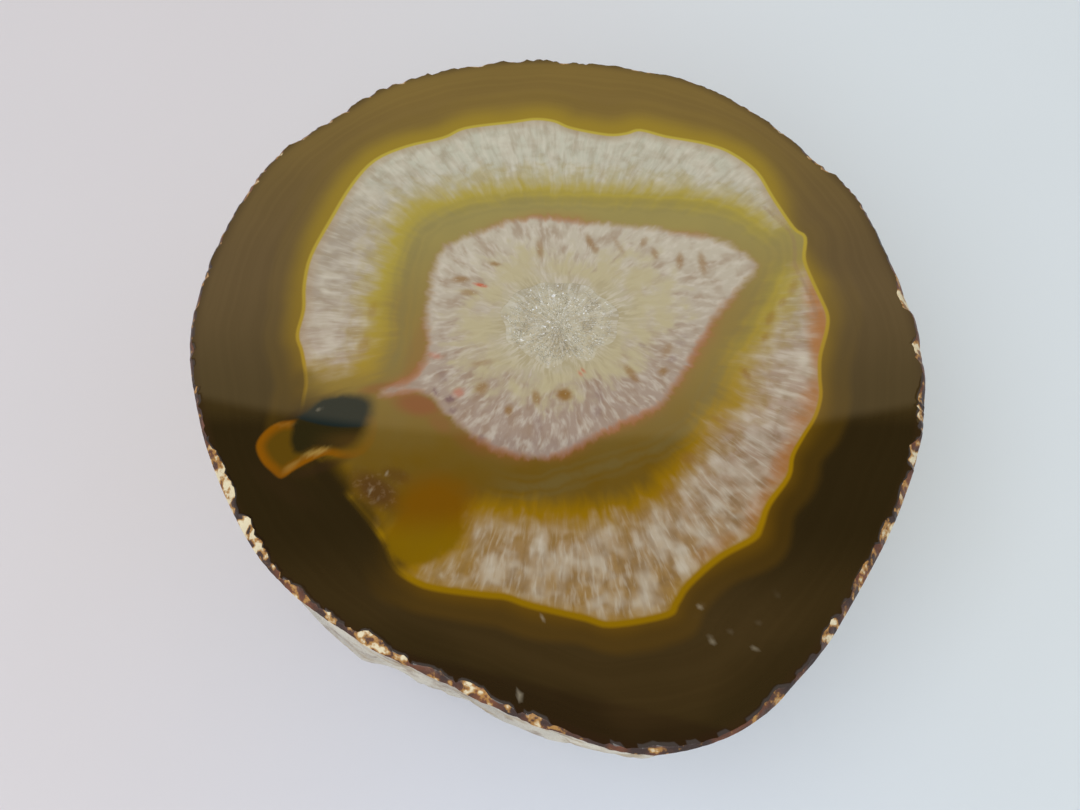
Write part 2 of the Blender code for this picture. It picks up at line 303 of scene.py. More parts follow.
    amber_spots: tuple[Spot, ...] = patches(
        (1.3, -7.4, 1.7, 1.5), (-3.2, -8, 1.8, 0.9, 100, 0.7), (-7.6, -10.3, 1.2, 0.9, 90, 0.8),
        (-12, -6.2, 1.6, 1.3, 60, 0.7), (-16, 15.2, 1.9, 0.9, 5, 0.75), (-14.6, 12.5, 1.9, 0.9, 0, 0.6),
        (-2.6, 21.5, 2.6, 0.8, 95, 0.6), (6, 23, 2.4, 0.7, 110, 0.65), (6.9, 21.5, 1.2, 0.8, 90, 0.6),
        (15.2, 23, 1.4, 0.8, 70, 0.5), (17, 20.5, 1.6, 0.8, 100, 0.6), (21.2, 19, 2.3, 0.8, 85, 0.65),
        (25, 18.5, 3.0, 0.9, 95, 0.65), (12.2, -3.4, 2.4, 0.9, 120, 0.7), (17.4, -3, 1.2, 0.9, 60, 0.75),
        (18.3, 1.2, 1.8, 1.0, 60, 0.5), (-12, -1.4, 2.4, 0.8, 10, 0.35), (-10.3, 18.4, 1.3, 0.6, -10, 0.7),
        (11, 22, 2.6, 0.6, 115, 0.4), (30.8, -3.4, 1.7, 0.8, 110, 0.9), (20.7, -19, 1.6, 1.4, 0, 0.8),
        (17.3, -25.3, 1.8, 1.5, 0, 0.6), (35.6, 7.3, 1.9, 0.8, 65, 0.7), (34.5, 3.6, 1.4, 0.8, 60, 0.6),
        (25.8, -12, 1.6, 0.6, 150, 0.6), (27.6, -14, 1.8, 0.6, 145, 0.6), (-31.5, 2, 2.2, 1.2, 80, 0.5),
        (-30.5, 9, 2.2, 0.9, 80, 0.4), (40, 13.5, 2.4, 0.9, 70, 0.5), (38, 10.6, 1.3, 0.8, 60, 0.5),
    )
    plum_spots: tuple[Spot, ...] = patches(
        (-17.1, -8.2, 1.1, 0.8, 0, 1), (-19.4, -6.8, 1.0, 0.6, 120, 0.7), (-16.6, -10.4, 0.9, 0.7, 0, 0.6),
        (6.8, -7.5, 1.8, 1.2, 90, 0.3), (6.5, -10.6, 1.5, 1.0, 60, 0.35), (-3, -13, 2.4, 1.0, 100, 0.3),
        (20.6, 3, 1.8, 1.2, 60, 0.3), (19, -0.6, 1.1, 0.8, 40, 0.45), (14.2, 2, 1.0, 0.5, 140, 0.4),
        (-18.4, -3.8, 2.0, 0.8, 110, 0.35), (-11.8, -15.4, 1.0, 0.7, 0, 0.5),
    )
    red_marks: tuple[Spot, ...] = patches(
        (-12.6, 14, 1.4, 0.45, -15), (4.2, -3.1, 1.0, 0.4, 45, 0.7), (-15.7, -7, 1.2, 1.1, 0, 0.5),
        (-19.8, 0, 1.6, 0.7, -20, 0.4),
    )
    red_edge: tuple[Spot, ...] = patches(
        (0, 28, 9, 3, 0, 0.75), (-9, 26.5, 5, 3, 20, 0.35), (24.5, 2, 9, 3, 55, 0.9),
        (20, -5, 5, 3, 55, 0.6), (11, -12, 9, 3, 25, 1.0), (2, -17, 6, 3, 20, 0.7),
        (-9, -18, 7, 3, -25, 0.6), (-22, 2, 7, 3, 95, 0.35), (-23.5, -4.5, 6, 3.5, 35, 1.0),
        (28, 10, 5, 3, 50, 0.4), (23, 24.5, 5, 2, 0, 0.4),
    )
    pink_halo: tuple[Spot, ...] = patches(
        (-22, -9.2, 5.0, 2.6, -12, 1.0), (-18.5, -12.5, 3.2, 1.8, -45, 0.5), (-23, 0, 7, 2.0, 80, 0.25),
        (-28.5, -6.2, 4.0, 1.2, 10, 0.6), (-14, -16, 5, 1.8, -40, 0.3),
    )
    orange_tint: tuple[Spot, ...] = patches(
        (43.4, 5, 13, 2.8, 92, 1), (40, -9.5, 8, 2.6, 62, 0.85), (35.5, -19.5, 7, 2.4, 60, 0.85),
        (31, -27.5, 6, 2.2, 60, 0.6), (41, 20, 5, 1.6, 85, 0.5), (24, -34, 6, 2.0, 35, 0.35),
    )
    grey_quartz: tuple[Spot, ...] = patches(
        (-28, -24.6, 5.2, 2.9, -38, 1), (-25, -22, 3, 1.5, -20, 0.6),
    )
    # Painted highlight: cream streaks on the hook's inner edge, where light catches it.
    cream_flash: tuple[Spot, ...] = patches(
        (-37.8, -17.9, 2.5, 0.6, 18, 0.6), (-41.4, -20.3, 2.2, 0.5, 38, 0.3),
        (-43, -12.9, 2.0, 0.4, 5, 0.12),
    )
    # Scratches and grains, with some round dots that are painted glints.
    flecks: tuple[Spot, ...] = patches(
        (27.2, -40.2, 0.4, 0.25, 30, 0.8), (24, -52.2, 0.5, 0.2, 80, 0.7), (-2.5, -45.6, 0.45, 0.3, 0, 0.7),
        (-5.6, -57, 1.7, 0.16, 95, 0.7), (21, -44, 1.3, 0.2, 60, 0.5), (25, -47.5, 1.0, 0.2, 120, 0.5),
        (30, -46, 0.8, 0.2, 20, 0.5), (22.5, -49.5, 1.2, 0.2, 100, 0.6), (28.5, -50.5, 0.7, 0.25, 50, 0.5),
        (33, -42, 0.8, 0.2, 140, 0.45), (-3.8, 12.2, 0.5, 0.4, 0, 0.9), (26.6, -27.5, 0.55, 0.4, 0, 1),
        (36.6, -16.3, 0.4, 0.4, 0, 0.8), (-37.9, -10.1, 0.6, 0.2, 40, 0.35),
        (13.9, -7.9, 0.35, 0.3, 0, 0.8),
        (-12.2, -36.5, 0.6, 0.4, 20, 0.6), (6, -38.5, 0.5, 0.3, 0, 0.5), (-17.2, -38.6, 0.4, 0.4, 0, 0.5),
        (-28.9, -24.8, 0.9, 0.25, -30, 0.7), (-27.6, -26.2, 0.6, 0.2, -20, 0.7),
        (-26.6, -21.9, 0.6, 0.2, 60, 0.6),
    )
    cloudy_agate: tuple[Spot, ...] = patches((27, -46, 12, 8, -20, 0.8), (20, -53, 6, 4, 0, 0.5))

    def fields(self, spots: np.ndarray, rim: np.ndarray) -> dict[str, np.ndarray]:
        """The values that the polished face's material reads.

        Args:
            spots: An array of x, y rows in millimetres.
            rim: Distance inside the rim for each spot.

        Returns:
            For each attribute's name, one value per spot.
        """
        found = {"rim": rim}
        for name, value in vars(self).items():
            if isinstance(value, Outline):
                found[name] = value.distance(spots)
            else:
                found[name] = np.max([spot.mask(spots) for spot in value], axis=0)
        return found


@dataclass(frozen=True)
class NoduleForm:
    """The stone's form: the same rim, bowl, lumps and pits as its solid, with finer relief on top."""

    rim_outline: Outline = Outline((
        (60.0, -3.5), (60.0, 6.0), (57.0, 20.0), (52.8, 33.5), (45.0, 43.8), (35.0, 54.0), (24.0, 60.8),
        (10.0, 64.3), (-5.0, 65.5), (-20.0, 63.0), (-30.0, 59.5), (-40.0, 51.6), (-50.0, 42.2),
        (-56.5, 28.0), (-59.7, 15.0), (-60.4, 4.0), (-57.5, -10.0), (-51.5, -25.0), (-43.0, -38.0),
        (-30.0, -48.2), (-15.0, -55.8), (0.0, -62.4), (12.0, -65.6), (25.0, -62.7), (35.0, -54.4),
        (45.5, -40.3), (53.0, -27.3), (58.3, -13.5),
    ))
    foot_radius: float = 15.0
    foot_wobble: float = 0.3
    lean_back: float = 1.14
    lean_front: float = 1.84
    lean_strip: float = 1.5
    strip_turn: float = math.radians(252)
    strip_half_width: float = math.radians(34)
    lumps: Points = ((30.0, 4.6), (13.0, 2.3), (6.5, 0.9))
    fine_lumps: Points = ((3.1, 0.34), (1.5, 0.14))
    lump_shift: tuple[float, float, float] = (3.1, 7.7, 1.3)
    outward_limit: float = 3.3
    pits: tuple[tuple[float, ...], ...] = (
        (18, 0.34, 8, 2.4), (47, 0.55, 6, 1.8), (80, 0.28, 7, 2.1), (115, 0.48, 9, 2.7),
        (150, 0.3, 6, 1.7), (196, 0.44, 8, 2.3), (232, 0.6, 6, 1.8), (263, 0.37, 7, 2.0),
        (300, 0.5, 9, 2.5), (338, 0.62, 6, 1.7),
    )
    ledges: Points = ((0.3, 1.5), (0.52, 2.2))
    large_chips: tuple[float, ...] = (1, 11, 206, 213, 241, 258, 298, 310, 319, 328, 342)
    chip_half_width: float = math.radians(3.2)
    ledge_width: float = 0.035
    dent_size: float = 4.4
    face_height: float = FACE_HEIGHT

    def rim_radius(self, turns: np.ndarray) -> np.ndarray:
        """Radius of the rim's silhouette, by the solid's own formula.

        Args:
            turns: Turns about the middle.

        Returns:
            One radius in millimetres for each turn.
        """
        points = np.array(self.rim_outline.points)
        knots = np.arctan2(points[:, 1], points[:, 0]) % TAU
        order = np.argsort(knots)
        knots, radii = knots[order], np.hypot(*points.T)[order]
        after = np.searchsorted(knots, turns % TAU, side="right") % len(knots)
        before = after - 1
        t = ((turns - knots[before]) % TAU) / ((knots[after] - knots[before]) % TAU)
        return along_curve([radii[(before + step) % len(knots)] for step in (-1, 0, 1, 2)], t)

    def lean(self, turns: np.ndarray) -> np.ndarray:
        """How the side draws in below the rim.

        Args:
            turns: Turns about the middle.

        Returns:
            One value for each turn.
        """
        front = smooth(0.5 - 0.9 * np.sin(turns), 0, 1)
        here = self.lean_back + (self.lean_front - self.lean_back) * front
        gap = turn_gap(turns, self.strip_turn)
        upright = smooth(1.6 * (1 - gap / self.strip_half_width), 0, 1)
        return here + (self.lean_strip - here) * upright

    def bowl(self, turns: np.ndarray, level: np.ndarray) -> tuple[np.ndarray, np.ndarray]:
        """The smooth bowl under the rim.

        Args:
            turns: Turn of each point about the middle.
            level: Level of each point, from 0 at the rim to 1 at the foot.

        Returns:
            The points in millimetres, and their outward directions.
        """
        here = self.lean(turns)
        start = np.arcsin((here - 1) / here)
        dip = start + (math.pi / 2 - start) * level
        ways = level_ways(turns)
        foot = self.foot_radius * (1 + self.foot_wobble * noise_at(ways * 1.7, 1))
        radius = foot + (self.rim_radius(turns) - foot) * np.cos(dip) / np.cos(start)
        points = ways * radius[:, None]
        points[:, 2] = self.face_height * (here - here * np.sin(dip))
        outward = ways * np.cos(dip)[:, None]
        outward[:, 2] = -np.sin(dip)
        return points, outward

    def relief(self, turns: np.ndarray, level: np.ndarray, points: np.ndarray) -> np.ndarray:
        """How far the skin stands out of the bowl.

        Args:
            turns: Turn of each point about the middle.
            level: Level of each point.
            points: The points on the bowl, in millimetres.

        Returns:
            Millimetres along the outward direction.
        """
        shift = np.array(self.lump_shift)
        ways = level_ways(turns)
        height = sum(amount * noise_at(points, size, shift) for size, amount in self.lumps)
        for ledge, step in self.ledges:
            edge = ledge + 0.12 * noise_at(ways * 2.2 + shift * ledge, 1)
            broken = smooth(0.5 + 2 * noise_at(ways * 1.6 + shift * ledge, 1), 0, 1)
            height = height + step * broken * (smooth((edge - level) / self.ledge_width, 0, 1) - 0.5)
        for pit_turn, pit_level, width, depth in self.pits:
            middle, _ = self.bowl(np.array([math.radians(pit_turn)]), np.array([pit_level]))
            reach = np.linalg.norm(points - middle, axis=1)
            height = height - depth * smooth(1.15 - reach / width, 0, 1)
        limit = self.outward_limit * smooth(level, 0.03, 0.27)
        fade = smooth(level, 0, 0.1) * smooth(points[:, 2], 0, 4)
        coarse = fade * np.minimum(np.minimum(height, limit), 0.35 * points[:, 2])
        fine = sum(amount * noise_at(points, size, shift) for size, amount in self.fine_lumps)
        dents = np.maximum(noise_at(points, self.dent_size, -shift) - 0.28, 0) * 2.4
        fade = smooth(level, 0, 0.03) * smooth(points[:, 2], 0, 2)
        return coarse + fade * (np.minimum(fine, 0.1) - dents)

    def chips(self, turns: np.ndarray) -> np.ndarray:
        """How much is broken off the rim: the solid's chips and finer ones.

        Args:
            turns: Turns about the middle.

        Returns:
            One value from 0 to 1 for each turn.
        """
        edge = level_ways(turns) * self.rim_radius(turns)[:, None]
        rough = 0.35 + 1.3 * noise_at(edge, 5.5)
        gap = turn_gap(turns[:, None], np.radians(self.large_chips)).min(axis=1)
        large = 1.5 * (1 - gap / self.chip_half_width)
        fine = 0.5 * noise_at(edge, 1.7, 9) + 0.4 * noise_at(edge, 0.8, 4)
        calm = smooth(noise_at(edge, 17, 3), -0.9, 0.3)
        common = calm * (0.6 * smooth(rough, 0, 1) + fine) + 0.16
        return np.clip(np.maximum(common, 0.85 * smooth(large, 0, 1) + 0.6 * fine), 0, 1)


@dataclass(frozen=True)
class Pocket:
    """The hollow in the face that holds the druse, in millimetres."""

    x: float = 0.5
    y: float = 6.5
    half_x: float = 9.6
    half_y: float = 8.0
    wobble: float = 0.22
    edge_depth: float = 1.8
    depth: float = 4.6

    def radius(self, turns: np.ndarray) -> np.ndarray:
        """Radius of the pocket's edge about its middle, by the solid's own formula."""
        oval = np.hypot(self.half_x * np.cos(turns), self.half_y * np.sin(turns))
        return oval * (1 + self.wobble * noise_at(level_ways(turns) * 2.3, 1))

    def floor(self, reach: np.ndarray) -> np.ndarray:
        """Depth of the pocket's floor below the face, from its middle (0) to its edge (1)."""
        return self.edge_depth + (self.depth - self.edge_depth) * (1 - np.asarray(reach) ** 2)


class Value:
    """A number in a shader, from which plain arithmetic builds nodes."""

    def __init__(self, graph: "Graph", socket: Socket) -> None:
        """Keep a socket and its graph."""
        self.graph = graph
        self.socket = socket

    def __add__(self, other: "Value | float") -> "Value":
        """The sum."""
        return self.graph.math("ADD", self, other)

    def __sub__(self, other: "Value | float") -> "Value":
        """The difference."""
        return self.graph.math("SUBTRACT", self, other)

    def __rsub__(self, other: float) -> "Value":
        """What is left of a plain number."""
        return self.graph.math("SUBTRACT", other, self)

    def __mul__(self, other: "Value | float") -> "Value":
        """The product."""
        return self.graph.math("MULTIPLY", self, other)

    def __truediv__(self, other: "Value | float") -> "Value":
        """The quotient."""
        return self.graph.math("DIVIDE", self, other)

    def __abs__(self) -> "Value":
        """The number without its sign."""
        return self.graph.math("ABSOLUTE", self)

    def rise(self, low: float, high: float, top: float = 1.0) -> "Value":
        """Map the number smoothly from 0 to a top.

        Args:
            low: Where the result is 0.
            high: Where the result is top.
            top: The highest result.

        Returns:
            The mapped number.
        """
        made = self.graph.node("MapRange", self, low, high, 0.0, top, interpolation_type="SMOOTHSTEP")
        return Value(self.graph, made.outputs["Result"])

    def fall(self, low: float, high: float, top: float = 1.0) -> "Value":
        """Map the number smoothly from top at low to 0 at high."""
        return top - self.rise(low, high, top)

    def ramp(self, *stops: tuple[float, Colour]) -> Socket:
        """A colour that changes with the number.

        Args:
            *stops: A number and the colour there, in rising order.

        Returns:
            The colour.
        """
        colour = stops[0][1]
        for (low, _), (high, upper) in zip(stops, stops[1:]):
            colour = self.graph.mix(self.rise(low, high), colour, upper)
        return colour


class Graph:
    """Builds shader nodes with few words, so that lines read as formulas."""

    def __init__(self, tree: bpy.types.NodeTree) -> None:
        """Wrap a node tree."""
        self.tree = tree

    def put(self, socket: Socket, value: object) -> None:
        """Fill one input.

        Args:
            socket: The input.
            value: A number in the shader, a socket or a plain value; None leaves the input alone.
        """
        value = value.socket if isinstance(value, Value) else value
        if isinstance(value, Socket):
            self.tree.links.new(value, socket)
        elif value is not None:
            socket.default_value = (*value, 1) if socket.type == "RGBA" and len(value) == 3 else value

    def fill(self, node: bpy.types.Node, **inputs: object) -> bpy.types.Node:
        """Fill inputs of a node by name.

        Args:
            node: The node.
            **inputs: Each input's value, with _ for a space in its name.

        Returns:
            The same node.
        """
        for name, value in inputs.items():
            self.put(node.inputs[name.replace("_", " ")], value)
        return node

    def node(self, kind: str, *inputs: object, **settings: object) -> bpy.types.Node:
        """Add a node.

        Args:
            kind: The node's type without the ShaderNode part.
            *inputs: Values for its first inputs, with None left alone.
            **settings: Properties of the node.

        Returns:
            The new node.
        """
        made = self.tree.nodes.new("ShaderNode" + kind)
        for name, value in settings.items():
            setattr(made, name, value)
        for socket, value in zip(made.inputs, inputs):
            self.put(socket, value)
        return made

    def math(self, operation: str, *inputs: object, clamp: bool = False) -> Value:
        """One arithmetic step, which can be kept between 0 and 1."""
        return Value(self, self.node("Math", *inputs, operation=operation, use_clamp=clamp).outputs[0])

    def vector(self, operation: str, *inputs: object) -> Socket:
        """One vector step, which puts out a vector."""
        return self.node("VectorMath", *inputs, operation=operation).outputs["Vector"]

    def scaled(self, vector: Socket, factor: object) -> Socket:
        """A vector times a number."""
        return self.vector("SCALE", vector, None, None, factor)

    def split(self, vector: Socket) -> list[Value]:
        """The x, y and z of a vector."""
        return [Value(self, part) for part in self.node("SeparateXYZ", vector).outputs]

    def mix(self, factor: Value, first: object, second: object, blend: str = "MIX") -> Socket:
        """Mix two colours.

        Args:
            factor: Share of the second colour.
            first: The first colour.
            second: The second colour.
            blend: How they are mixed.

        Returns:
            The mixed colour.
        """
        made = self.node("Mix", data_type="RGBA", blend_type=blend)
        for index, value in ((0, factor), (6, first), (7, second)):
            self.put(made.inputs[index], value)
        return made.outputs[2]

    def layers(self, colour: object, *layers: tuple[Value, object]) -> Socket:
        """Lay colours over a first one.

        Args:
            colour: The first colour.
            *layers: How strongly each next colour covers, and the colour.

        Returns:
            The colour on top.
        """
        for share, upper in layers:
            colour = self.mix(share, colour, upper)
        return colour

    @cached_property
    def place(self) -> Socket:
        """Object coordinates in millimetres."""
        return self.scaled(self.node("TexCoord").outputs["Object"], 1 / MM)

    @cached_property
    def axes(self) -> list[Value]:
        """The place's x, y and z."""
        return self.split(self.place)

    def stored(self, name: str) -> Value:
        """A number stored on the mesh."""
        return Value(self, self.node("Attribute", attribute_name=name).outputs["Fac"])

    def noise(self, scale: object, detail: float = 2.0, warp: float = 0.0,
              place: Socket | None = None) -> Value:
        """Soft noise around 0.5.

        Args:
            scale: Features per unit.
            detail: Octaves of finer noise.
            warp: How much it swirls.
            place: Where it is read, if that isn't the graph's place.

        Returns:
            The noise.
        """
        made = self.node("TexNoise", self.place if place is None else place)
        return Value(self, self.fill(made, Scale=scale, Detail=detail, Distortion=warp).outputs["Fac"])

    def group(self, name: str, **inputs: object) -> list[Value]:
        """Place a shared node group.

        Args:
            name: The group's name.
            **inputs: Its values, apart from the place.

        Returns:
            What it puts out.
        """
        made = self.tree.nodes.new("ShaderNodeGroup")
        made.node_tree = bpy.data.node_groups[name]
        return [Value(self, out) for out in self.fill(made, Place=self.place, **inputs).outputs]

    def fibres(self, width: float, length: float, stray: float) -> Value:
        """Streaks of some width, length and stray, all in millimetres."""
        return self.group(FIBRES, Width=width, Length=length, Stray=stray)[0]

    def mottle(self, size: float, contrast: float) -> list[Value]:
        """Patches of a size in millimetres, and their finer grain."""
        return self.group(MOTTLE, Size=size, Contrast=contrast)

    def bump(self, height: Value, strength: float, distance: float) -> Socket:
        """The direction of a surface with small bumps."""
        made = self.fill(self.node("Bump"), Strength=strength, Distance=distance, Height=height)
        return made.outputs["Normal"]


def new_group(name: str, inputs: tuple[str, ...], outputs: tuple[str, ...]) -> tuple[Graph, object, object]:
    """Start a shader node group that also takes a place in millimetres.

    Args:
        name: The group's name.
        inputs: Names of its other inputs, all numbers.
        outputs: Names of its outputs, all numbers.

    Returns:
        The group's graph, its input node's outputs and its output node's inputs.
    """
    tree = bpy.data.node_groups.new(name, "ShaderNodeTree")
    tree.interface.new_socket("Place", in_out="INPUT", socket_type="NodeSocketVector")
    for in_out, sockets in (("INPUT", inputs), ("OUTPUT", outputs)):
        for socket in sockets:
            tree.interface.new_socket(socket, in_out=in_out, socket_type="NodeSocketFloat")
    graph = Graph(tree)
    given = tree.nodes.new("NodeGroupInput").outputs
    graph.place = given["Place"]
    return graph, given, tree.nodes.new("NodeGroupOutput").inputs


def build_fibres() -> None:
    """Make the group of streaks that run out from the druse, like quartz needles cut along their length.

    Its inputs are Width (mm at 40 mm out), Length (mm) and Stray (mm).
    """
    graph, given, result = new_group(FIBRES, ("Width", "Length", "Stray"), ("Streak",))
    stray = graph.fill(graph.node("TexNoise", graph.place), Scale=0.24).outputs["Color"]
    bend = graph.scaled(graph.vector("SUBTRACT", stray, (0.5, 0.5, 0.5)), given["Stray"])
    out = graph.vector("SUBTRACT", graph.vector("ADD", graph.place, bend), (Pocket.x, Pocket.y, 0))
    out = graph.vector("MULTIPLY", out, (1, 1, 0))
    reach = graph.node("VectorMath", out, operation="LENGTH").outputs["Value"]
    spread = graph.scaled(graph.vector("NORMALIZE", out), graph.math("DIVIDE", 40.0, given["Width"]))
    x, y, _ = graph.split(spread)
    place = graph.node("CombineXYZ", x, y, graph.math("DIVIDE", reach, given["Length"])).outputs[0]
    graph.put(result["Streak"], graph.noise(0.55, place=place))


def build_mottle() -> None:
    """Make the group of patches of two sizes, whose inputs are Size (mm) and Contrast."""
    graph, given, result = new_group(MOTTLE, ("Size", "Contrast"), ("Mask", "Grain"))
    scale = graph.math("DIVIDE", 1.0, given["Size"])
    sharp = graph.math("MULTIPLY_ADD", graph.noise(scale, 3.0) - 0.5, given["Contrast"], 0.5, clamp=True)
    graph.put(result["Mask"], sharp)
    graph.put(result["Grain"], graph.noise(scale * 5.0, 4.0))


def new_material(name: str) -> tuple[bpy.types.Material, Graph, bpy.types.Node]:
    """Start a material.

    Args:
        name: The material's name.

    Returns:
        The material, its graph and its Principled node.
    """
    material = bpy.data.materials.new(name)
    material.use_nodes = True
    graph = Graph(material.node_tree)
    return material, graph, material.node_tree.nodes["Principled BSDF"]


@dataclass(frozen=True)
class AgateFinish:
    """Colours of the polished face, from the rim to the core."""

    brown_front: Colour = (0.0430, 0.0250, 0.0082)
    brown_low: Colour = (0.0175, 0.0100, 0.0034)
    brown_step: Colour = (0.0440, 0.0265, 0.0080)
    brown_middle: Colour = (0.0960, 0.0600, 0.0250)
    brown_top: Colour = (0.185, 0.118, 0.025)
    brown_edge: Colour = (0.030, 0.014, 0.006)
    brown_cloud: Colour = (0.030, 0.018, 0.006)
    glow_low: Colour = (0.145, 0.070, 0.003)
    glow_top: Colour = (0.292, 0.198, 0.010)
    line_low: Colour = (0.300, 0.165, 0.001)
    line_front: Colour = (0.245, 0.132, 0.0005)
    line_top: Colour = (0.420, 0.330, 0.040)
    olive_low: Colour = (0.135, 0.070, 0.002)
    olive_middle: Colour = (0.230, 0.158, 0.040)
    olive_top: Colour = (0.296, 0.246, 0.078)
    ochre_low: Colour = (0.280, 0.148, 0.001)
    ochre_top: Colour = (0.370, 0.295, 0.040)
    middle_line: Colour = (0.150, 0.135, 0.062)
    white_low: Colour = (0.286, 0.170, 0.056)
    white_middle: Colour = (0.346, 0.258, 0.204)
    white_high: Colour = (0.334, 0.290, 0.244)
    white_top: Colour = (0.465, 0.468, 0.388)
    white_gap: Colour = (0.190, 0.112, 0.048)
    white_shade: Colour = (0.300, 0.250, 0.180)
    line_shade: Colour = (0.330, 0.225, 0.130)
    white_needle: Colour = (0.620, 0.585, 0.500)
    orange: Colour = (0.340, 0.110, 0.010)
    core_low: Colour = (0.310, 0.236, 0.198)
    core_top: Colour = (0.465, 0.425, 0.350)
    core_gap: Colour = (0.240, 0.150, 0.095)
    core_needle: Colour = (0.600, 0.560, 0.490)
    cream: Colour = (0.435, 0.385, 0.235)
    druse: Colour = (0.420, 0.380, 0.270)
    druse_gap: Colour = (0.330, 0.275, 0.165)
    red: Colour = (0.330, 0.105, 0.045)
    pink: Colour = (0.215, 0.064, 0.026)
    amber_spot: Colour = (0.225, 0.110, 0.025)
    plum_spot: Colour = (0.150, 0.080, 0.095)
    red_mark: Colour = (0.480, 0.090, 0.045)
    # Painted reflection: bluish black where the backdrop's mirrored edge crosses the tube's far part.
    tube_high: Colour = (0.001, 0.0110, 0.0160)
    tube_low: Colour = (0.0165, 0.0125, 0.0040)
    tube_brown: Colour = (0.062, 0.032, 0.007)
    amber_rim: Colour = (0.230, 0.078, 0.001)
    amber_inside: Colour = (0.100, 0.052, 0.003)
    # Painted highlight on the hook's edge.
    cream_flash: Colour = (0.420, 0.290, 0.080)
    gold: Colour = (0.170, 0.068, 0.0005)
    gold_green: Colour = (0.195, 0.106, 0.0005)
    grey_quartz: Colour = (0.082, 0.034, 0.010)
    grey_needle: Colour = (0.175, 0.105, 0.058)
    # Colour of the scratches and grains, and of the painted glints.
    fleck: Colour = (0.520, 0.460, 0.340)
    stripe: Colour = (0.56, 0.50, 0.42)
    roughness: float = 0.015
    index: float = 1.54

    def build(self) -> bpy.types.Material:
        """Make the polished face's material.

        Returns:
            The material.
        """
        material, graph, shader = new_material("polished agate")
        colour = self.agate(graph)
        for lay in (self.inside, self.core, self.marks):
            colour = lay(graph, colour)
        graph.fill(shader, Base_Color=colour, Roughness=self.roughness, IOR=self.index)
        return material

    def agate(self, graph: Graph) -> Socket:
        """The brown agate outside the yellow line, with its faint bands and its glow.

        Args:
            graph: The material's graph.

        Returns:
            The colour.
        """
        y = graph.axes[1]
        line, rim = graph.stored("yellow_line"), graph.stored("rim")
        brown = y.ramp((-48, self.brown_front), (-30, self.brown_low), (-14, self.brown_low),
                       (-9, self.brown_step), (16, self.brown_middle), (66, self.brown_top))
        glow = y.ramp((-30, self.glow_low), (48, self.glow_top))
        brown = graph.mix(graph.mottle(16.0, 1.6)[0] * 0.22, brown, self.brown_cloud)
        across = line / graph.math("MAXIMUM", line + rim, 1.0)
        wave = graph.noise(0.07)
        stripe = graph.node("TexNoise", noise_dimensions="1D")
        graph.fill(stripe, W=wave * 0.9 + across * 6.0, Scale=1.7, Detail=2)
        shade = Value(graph, stripe.outputs["Fac"]).rise(0.38, 0.62)
        brown = graph.mix(shade * 0.16, brown, self.stripe, "MULTIPLY")
        waver = wave * -3.0 + line - y.rise(-30, 40, 2.0)
        bright = 1 - graph.math("MAXIMUM", graph.stored("dull_glow"), graph.stored("line_gaps"))
        foot = (wave * 9.0 + rim).fall(7.0, 13.0, 0.6)
        cloudy = graph.stored("cloudy_agate") * graph.noise(0.9, 5.0, 0.6)
        return graph.layers(
            brown,
            (waver.fall(2.4, 4.2) * bright * (0.26 - y.rise(-20, 10, 0.18)), glow),
            (waver.fall(-2.7, 1.8) * bright * 0.8, glow),
            (foot * y.fall(-52, -38), self.brown_low),
            (rim.fall(0.2, 2.2) * 0.75, self.brown_edge),
            (cloudy * 0.12, self.brown_middle),
        )

    def ochre(self, graph: Graph) -> Socket:
        """The ochre stain of the olive band's edge."""
        return graph.axes[1].ramp((-24, self.ochre_low), (22, self.ochre_top))

    def quartz_band(self, graph: Graph) -> Socket:
        """The white band of quartz needles, tinted orange near the line on the right.

        Args:
            graph: The material's graph.

        Returns:
            The colour.
        """
        y = graph.axes[1]
        line = graph.stored("yellow_line")
        coarse = graph.fibres(1.5, 3.6, 1.2)
        fine = graph.fibres(0.6, 3.0, 0.9)
        hair = graph.fibres(0.3, 1.8, 0.8)
        blotch = graph.noise(0.42, 3.0, 0.3)
        clump = graph.noise(0.34, 1.0)
        white = y.ramp((-44, self.white_low), (-8, self.white_middle), (22, self.white_high),
                       (44, self.white_top))
        gap = y.ramp((-24, self.white_gap), (28, self.white_shade))
        shade = y.ramp((-30, self.ochre_low), (0, self.line_shade))
        stain = (coarse - blotch) * 9.0 + graph.stored("olive_zone")
        tint = (fine - 0.5) * 5.0 + line
        return graph.layers(
            white,
            (blotch.rise(0.40, 0.70, 0.50), gap),
            (coarse.rise(0.40, 0.74, 0.44), self.white_needle),
            (fine.rise(0.42, 0.74, 0.46), gap),
            (hair.rise(0.46, 0.76, 0.3), self.white_needle),
            (clump.rise(0.44, 0.76, 0.3), self.white_needle),
            (stain.fall(0.5, 6.0, 0.34), self.ochre(graph)),
            (line.rise(-2.4, -0.3, 0.46), shade),
            (graph.stored("orange_tint") * tint.rise(-6.0, 0.0, 0.78), self.orange),
        )

